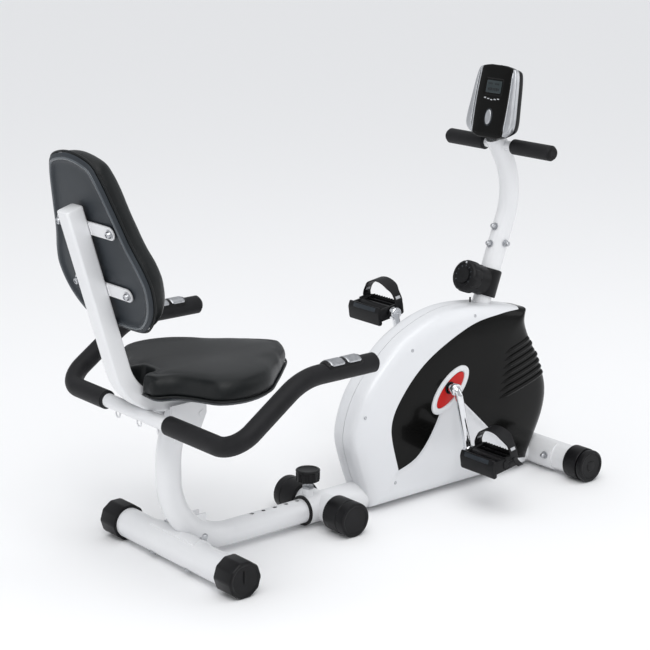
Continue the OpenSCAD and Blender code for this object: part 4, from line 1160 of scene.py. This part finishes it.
# key: an upright oval
kp = np.array([(46 + 16.5 * math.sin(a), 8.5 * math.cos(a))
               for a in np.linspace(0, 2 * math.pi, 61)[:-1]])
add("mode_key_cap", *plate(kp, [(0, 8), (0, -1.4), (0.5, -2.4), (1.6, -3.1)], con_place, 3,
                           lambda a, b, d: 0.9 * (1 - math.exp(-d / 5))), "silver_plastic", "mode_key",
    ["mode_button"], smooth=40)
ring_pts = [con(-0.3, b, a) for a, b in shrink(kp, -2.2)]
add("mode_key_rim", *sweep(ring_pts, ring(1.1, 10), closed=True), "grey_plastic", "frame", smooth=60)

# ---- T-bar grips, tension dial

parts, plugs = [], []
for s in (-1, 1):
    path = [P(884, s * y, 763) for y in np.linspace(40, 161, 24)]
    parts.append(sleeve(path, 17, 40, round_end=4))
    plugs.append(lathe([(13.6, 0), (13.6, 0.5), (12.4, 1.0), (8, 1.2), (7.4, 0.4), (0.02, 0.2)],
                       P(884, s * 160.6, 763), Vector((0, s, 0)), 32))
add("t_bar_foam", *merge(*parts), "foam", "frame", ["t_bar_grips"], smooth=40)
add("t_bar_plugs", *merge(*plugs), "black_plastic", "frame", smooth=30)

TILT = math.radians(20.5)
PX = Vector((math.cos(TILT), 0, -math.sin(TILT)))
PZ = Vector((math.sin(TILT), 0, math.cos(TILT)))
P0 = P(846, 0, 436)


def post(x, y, z):
    return P0 + (PX * x + Y * y + PZ * z) / 1000


# collar round the console post, with the dial's round housing in front of the rider
parts = [lathe([(22.6, -10), (26.2, -10), (27.1, -9), (27.4, -6), (27.4, 46), (26.8, 49.5), (25.2, 51.6),
                (22.6, 52)], post(0, 0, 0), PZ, 64, ends=False)]
parts.append(lathe([(33.0, 20), (32.0, 26), (31.8, 46.5), (31.2, 49.2), (29.5, 50.0), (8, 50.1)],
                   post(0, 0, 20), -PX, 80, ends=False))
parts.append(block(post(-36, 0, 51), PX, Y, PZ, (22, 3.2, 5), 1.2, 2))
add("dial_housing", *merge(*parts), "black_plastic", "frame", ["tension_housing"], smooth=35)

C_DIAL = post(-50.3, 0, 20)


def grip(a, r, h):
    """Finger notches round the dial's rim."""
    return r - 2.0 * max(0.0, math.cos(10 * a)) ** 3 if r > 33 and 3 < h < 22 else r


dial = [lathe([(30, 0.4), (34.8, 0.5), (35.8, 1.6), (36.0, 4), (36.0, 8), (36.0, 14), (36.0, 19),
               (35.4, 21.8), (33.8, 24.6), (31.2, 27.2), (28.6, 28.2), (26.6, 27.9), (25.6, 26.6),
               (18.6, 26.2), (18.2, 29.4), (17.4, 30.6), (14.0, 31.0), (10.5, 30.4), (0.02, 30.2)], C_DIAL,
              -PX, 160, wobble=grip, hint=PZ)]
add("dial", *merge(*dial), "black_plastic", "tension_dial", ["tension_knob"], smooth=30)
marks = []
for k in range(9):
    a = math.radians(-120 + 30 * k)
    rad = Y * math.sin(a) + PZ * math.cos(a)
    tan = Y * math.cos(a) - PZ * math.sin(a)
    marks.append(block(C_DIAL + (-PX * 26.5 + rad * 22) / 1000, rad, tan, -PX, (4.6, 1.1 + 0.14 * k, 0.7),
                       0.3, 2))
add("dial_scale", *merge(*marks), "bead_plastic", "tension_dial", slot="grey_plastic")
marks = [lathe([(2.4, -0.6), (2.4, 0.3), (2.0, 0.6), (0.02, 0.7)], C_DIAL + (-PX * 28.2 + PZ * 29.4) / 1000,
               -PX, 20)]
add("dial_marks", *merge(*marks), "grey_print", "tension_dial", slot="silver_plastic")

# ---- stage, light, camera


def stage():
    bpy.ops.mesh.primitive_plane_add(size=40, location=(0, 0, 0))
    floor = bpy.context.object
    floor.name = "floor"
    m, nt, b = new_mat("floor_mat")
    b.inputs["Base Color"].default_value = (0.93, 0.93, 0.935, 1)
    b.inputs["Roughness"].default_value = 0.75
    b.inputs["Specular IOR Level"].default_value = 0.2
    floor.data.materials.append(m)
    w = bpy.data.worlds.new("world")
    SCENE.world = w
    w.use_nodes = True
    w.node_tree.nodes["Background"].inputs[0].default_value = (0.95, 0.97, 1.0, 1)
    w.node_tree.nodes["Background"].inputs[1].default_value = 0.56

    def area(name, loc, at, size, power, size_y=None):
        lamp = bpy.data.lights.new(name, "AREA")
        lamp.energy = power
        lamp.shape = "RECTANGLE"
        lamp.size = size
        lamp.size_y = size_y or size
        o = new_object(name, lamp)
        o.location = loc
        o.rotation_euler = (Vector(at) - Vector(loc)).to_track_quat("-Z", "Y").to_euler()
    area("key", (-1.6, -2.6, 3.2), (0, 0, 0.4), 2.2, 44)
    area("fill", (2.8, -2.2, 1.8), (0.1, 0, 0.4), 2.0, 12)
    area("top", (0.2, 0.6, 3.6), (0, 0, 0.3), 3.0, 12)
    sun = bpy.data.lights.new("sky", "SUN")
    sun.energy = 1.0
    sun.angle = math.radians(60)
    o = new_object("sky", sun)
    o.rotation_euler = (math.radians(14), math.radians(-10), 0)
    area("side", (-3.2, 0.4, 1.4), (0, 0, 0.5), 1.2, 10, 2.2)


def camera():
    a, e = math.radians(-39.48), math.radians(14.99)
    back = Vector((math.sin(a) * math.cos(e), -math.cos(a) * math.cos(e), math.sin(e)))
    cam = bpy.data.cameras.new("camera")
    cam.lens = 102.48
    cam.sensor_width = 36
    cam.clip_end = 60
    o = new_object("camera", cam)
    target = P(384.45, 0, 434.6)
    x = Z.cross(back).normalized()
    y = back.cross(x)
    roll = math.radians(0.06)
    xr = x * math.cos(roll) + y * math.sin(roll)
    yr = y * math.cos(roll) - x * math.sin(roll)
    mw = Matrix((xr, yr, back)).transposed().to_4x4()
    mw.translation = target + back * 3.8616
    o.matrix_world = mw
    SCENE.camera = o


stage()
camera()
bpy.context.view_layer.update()
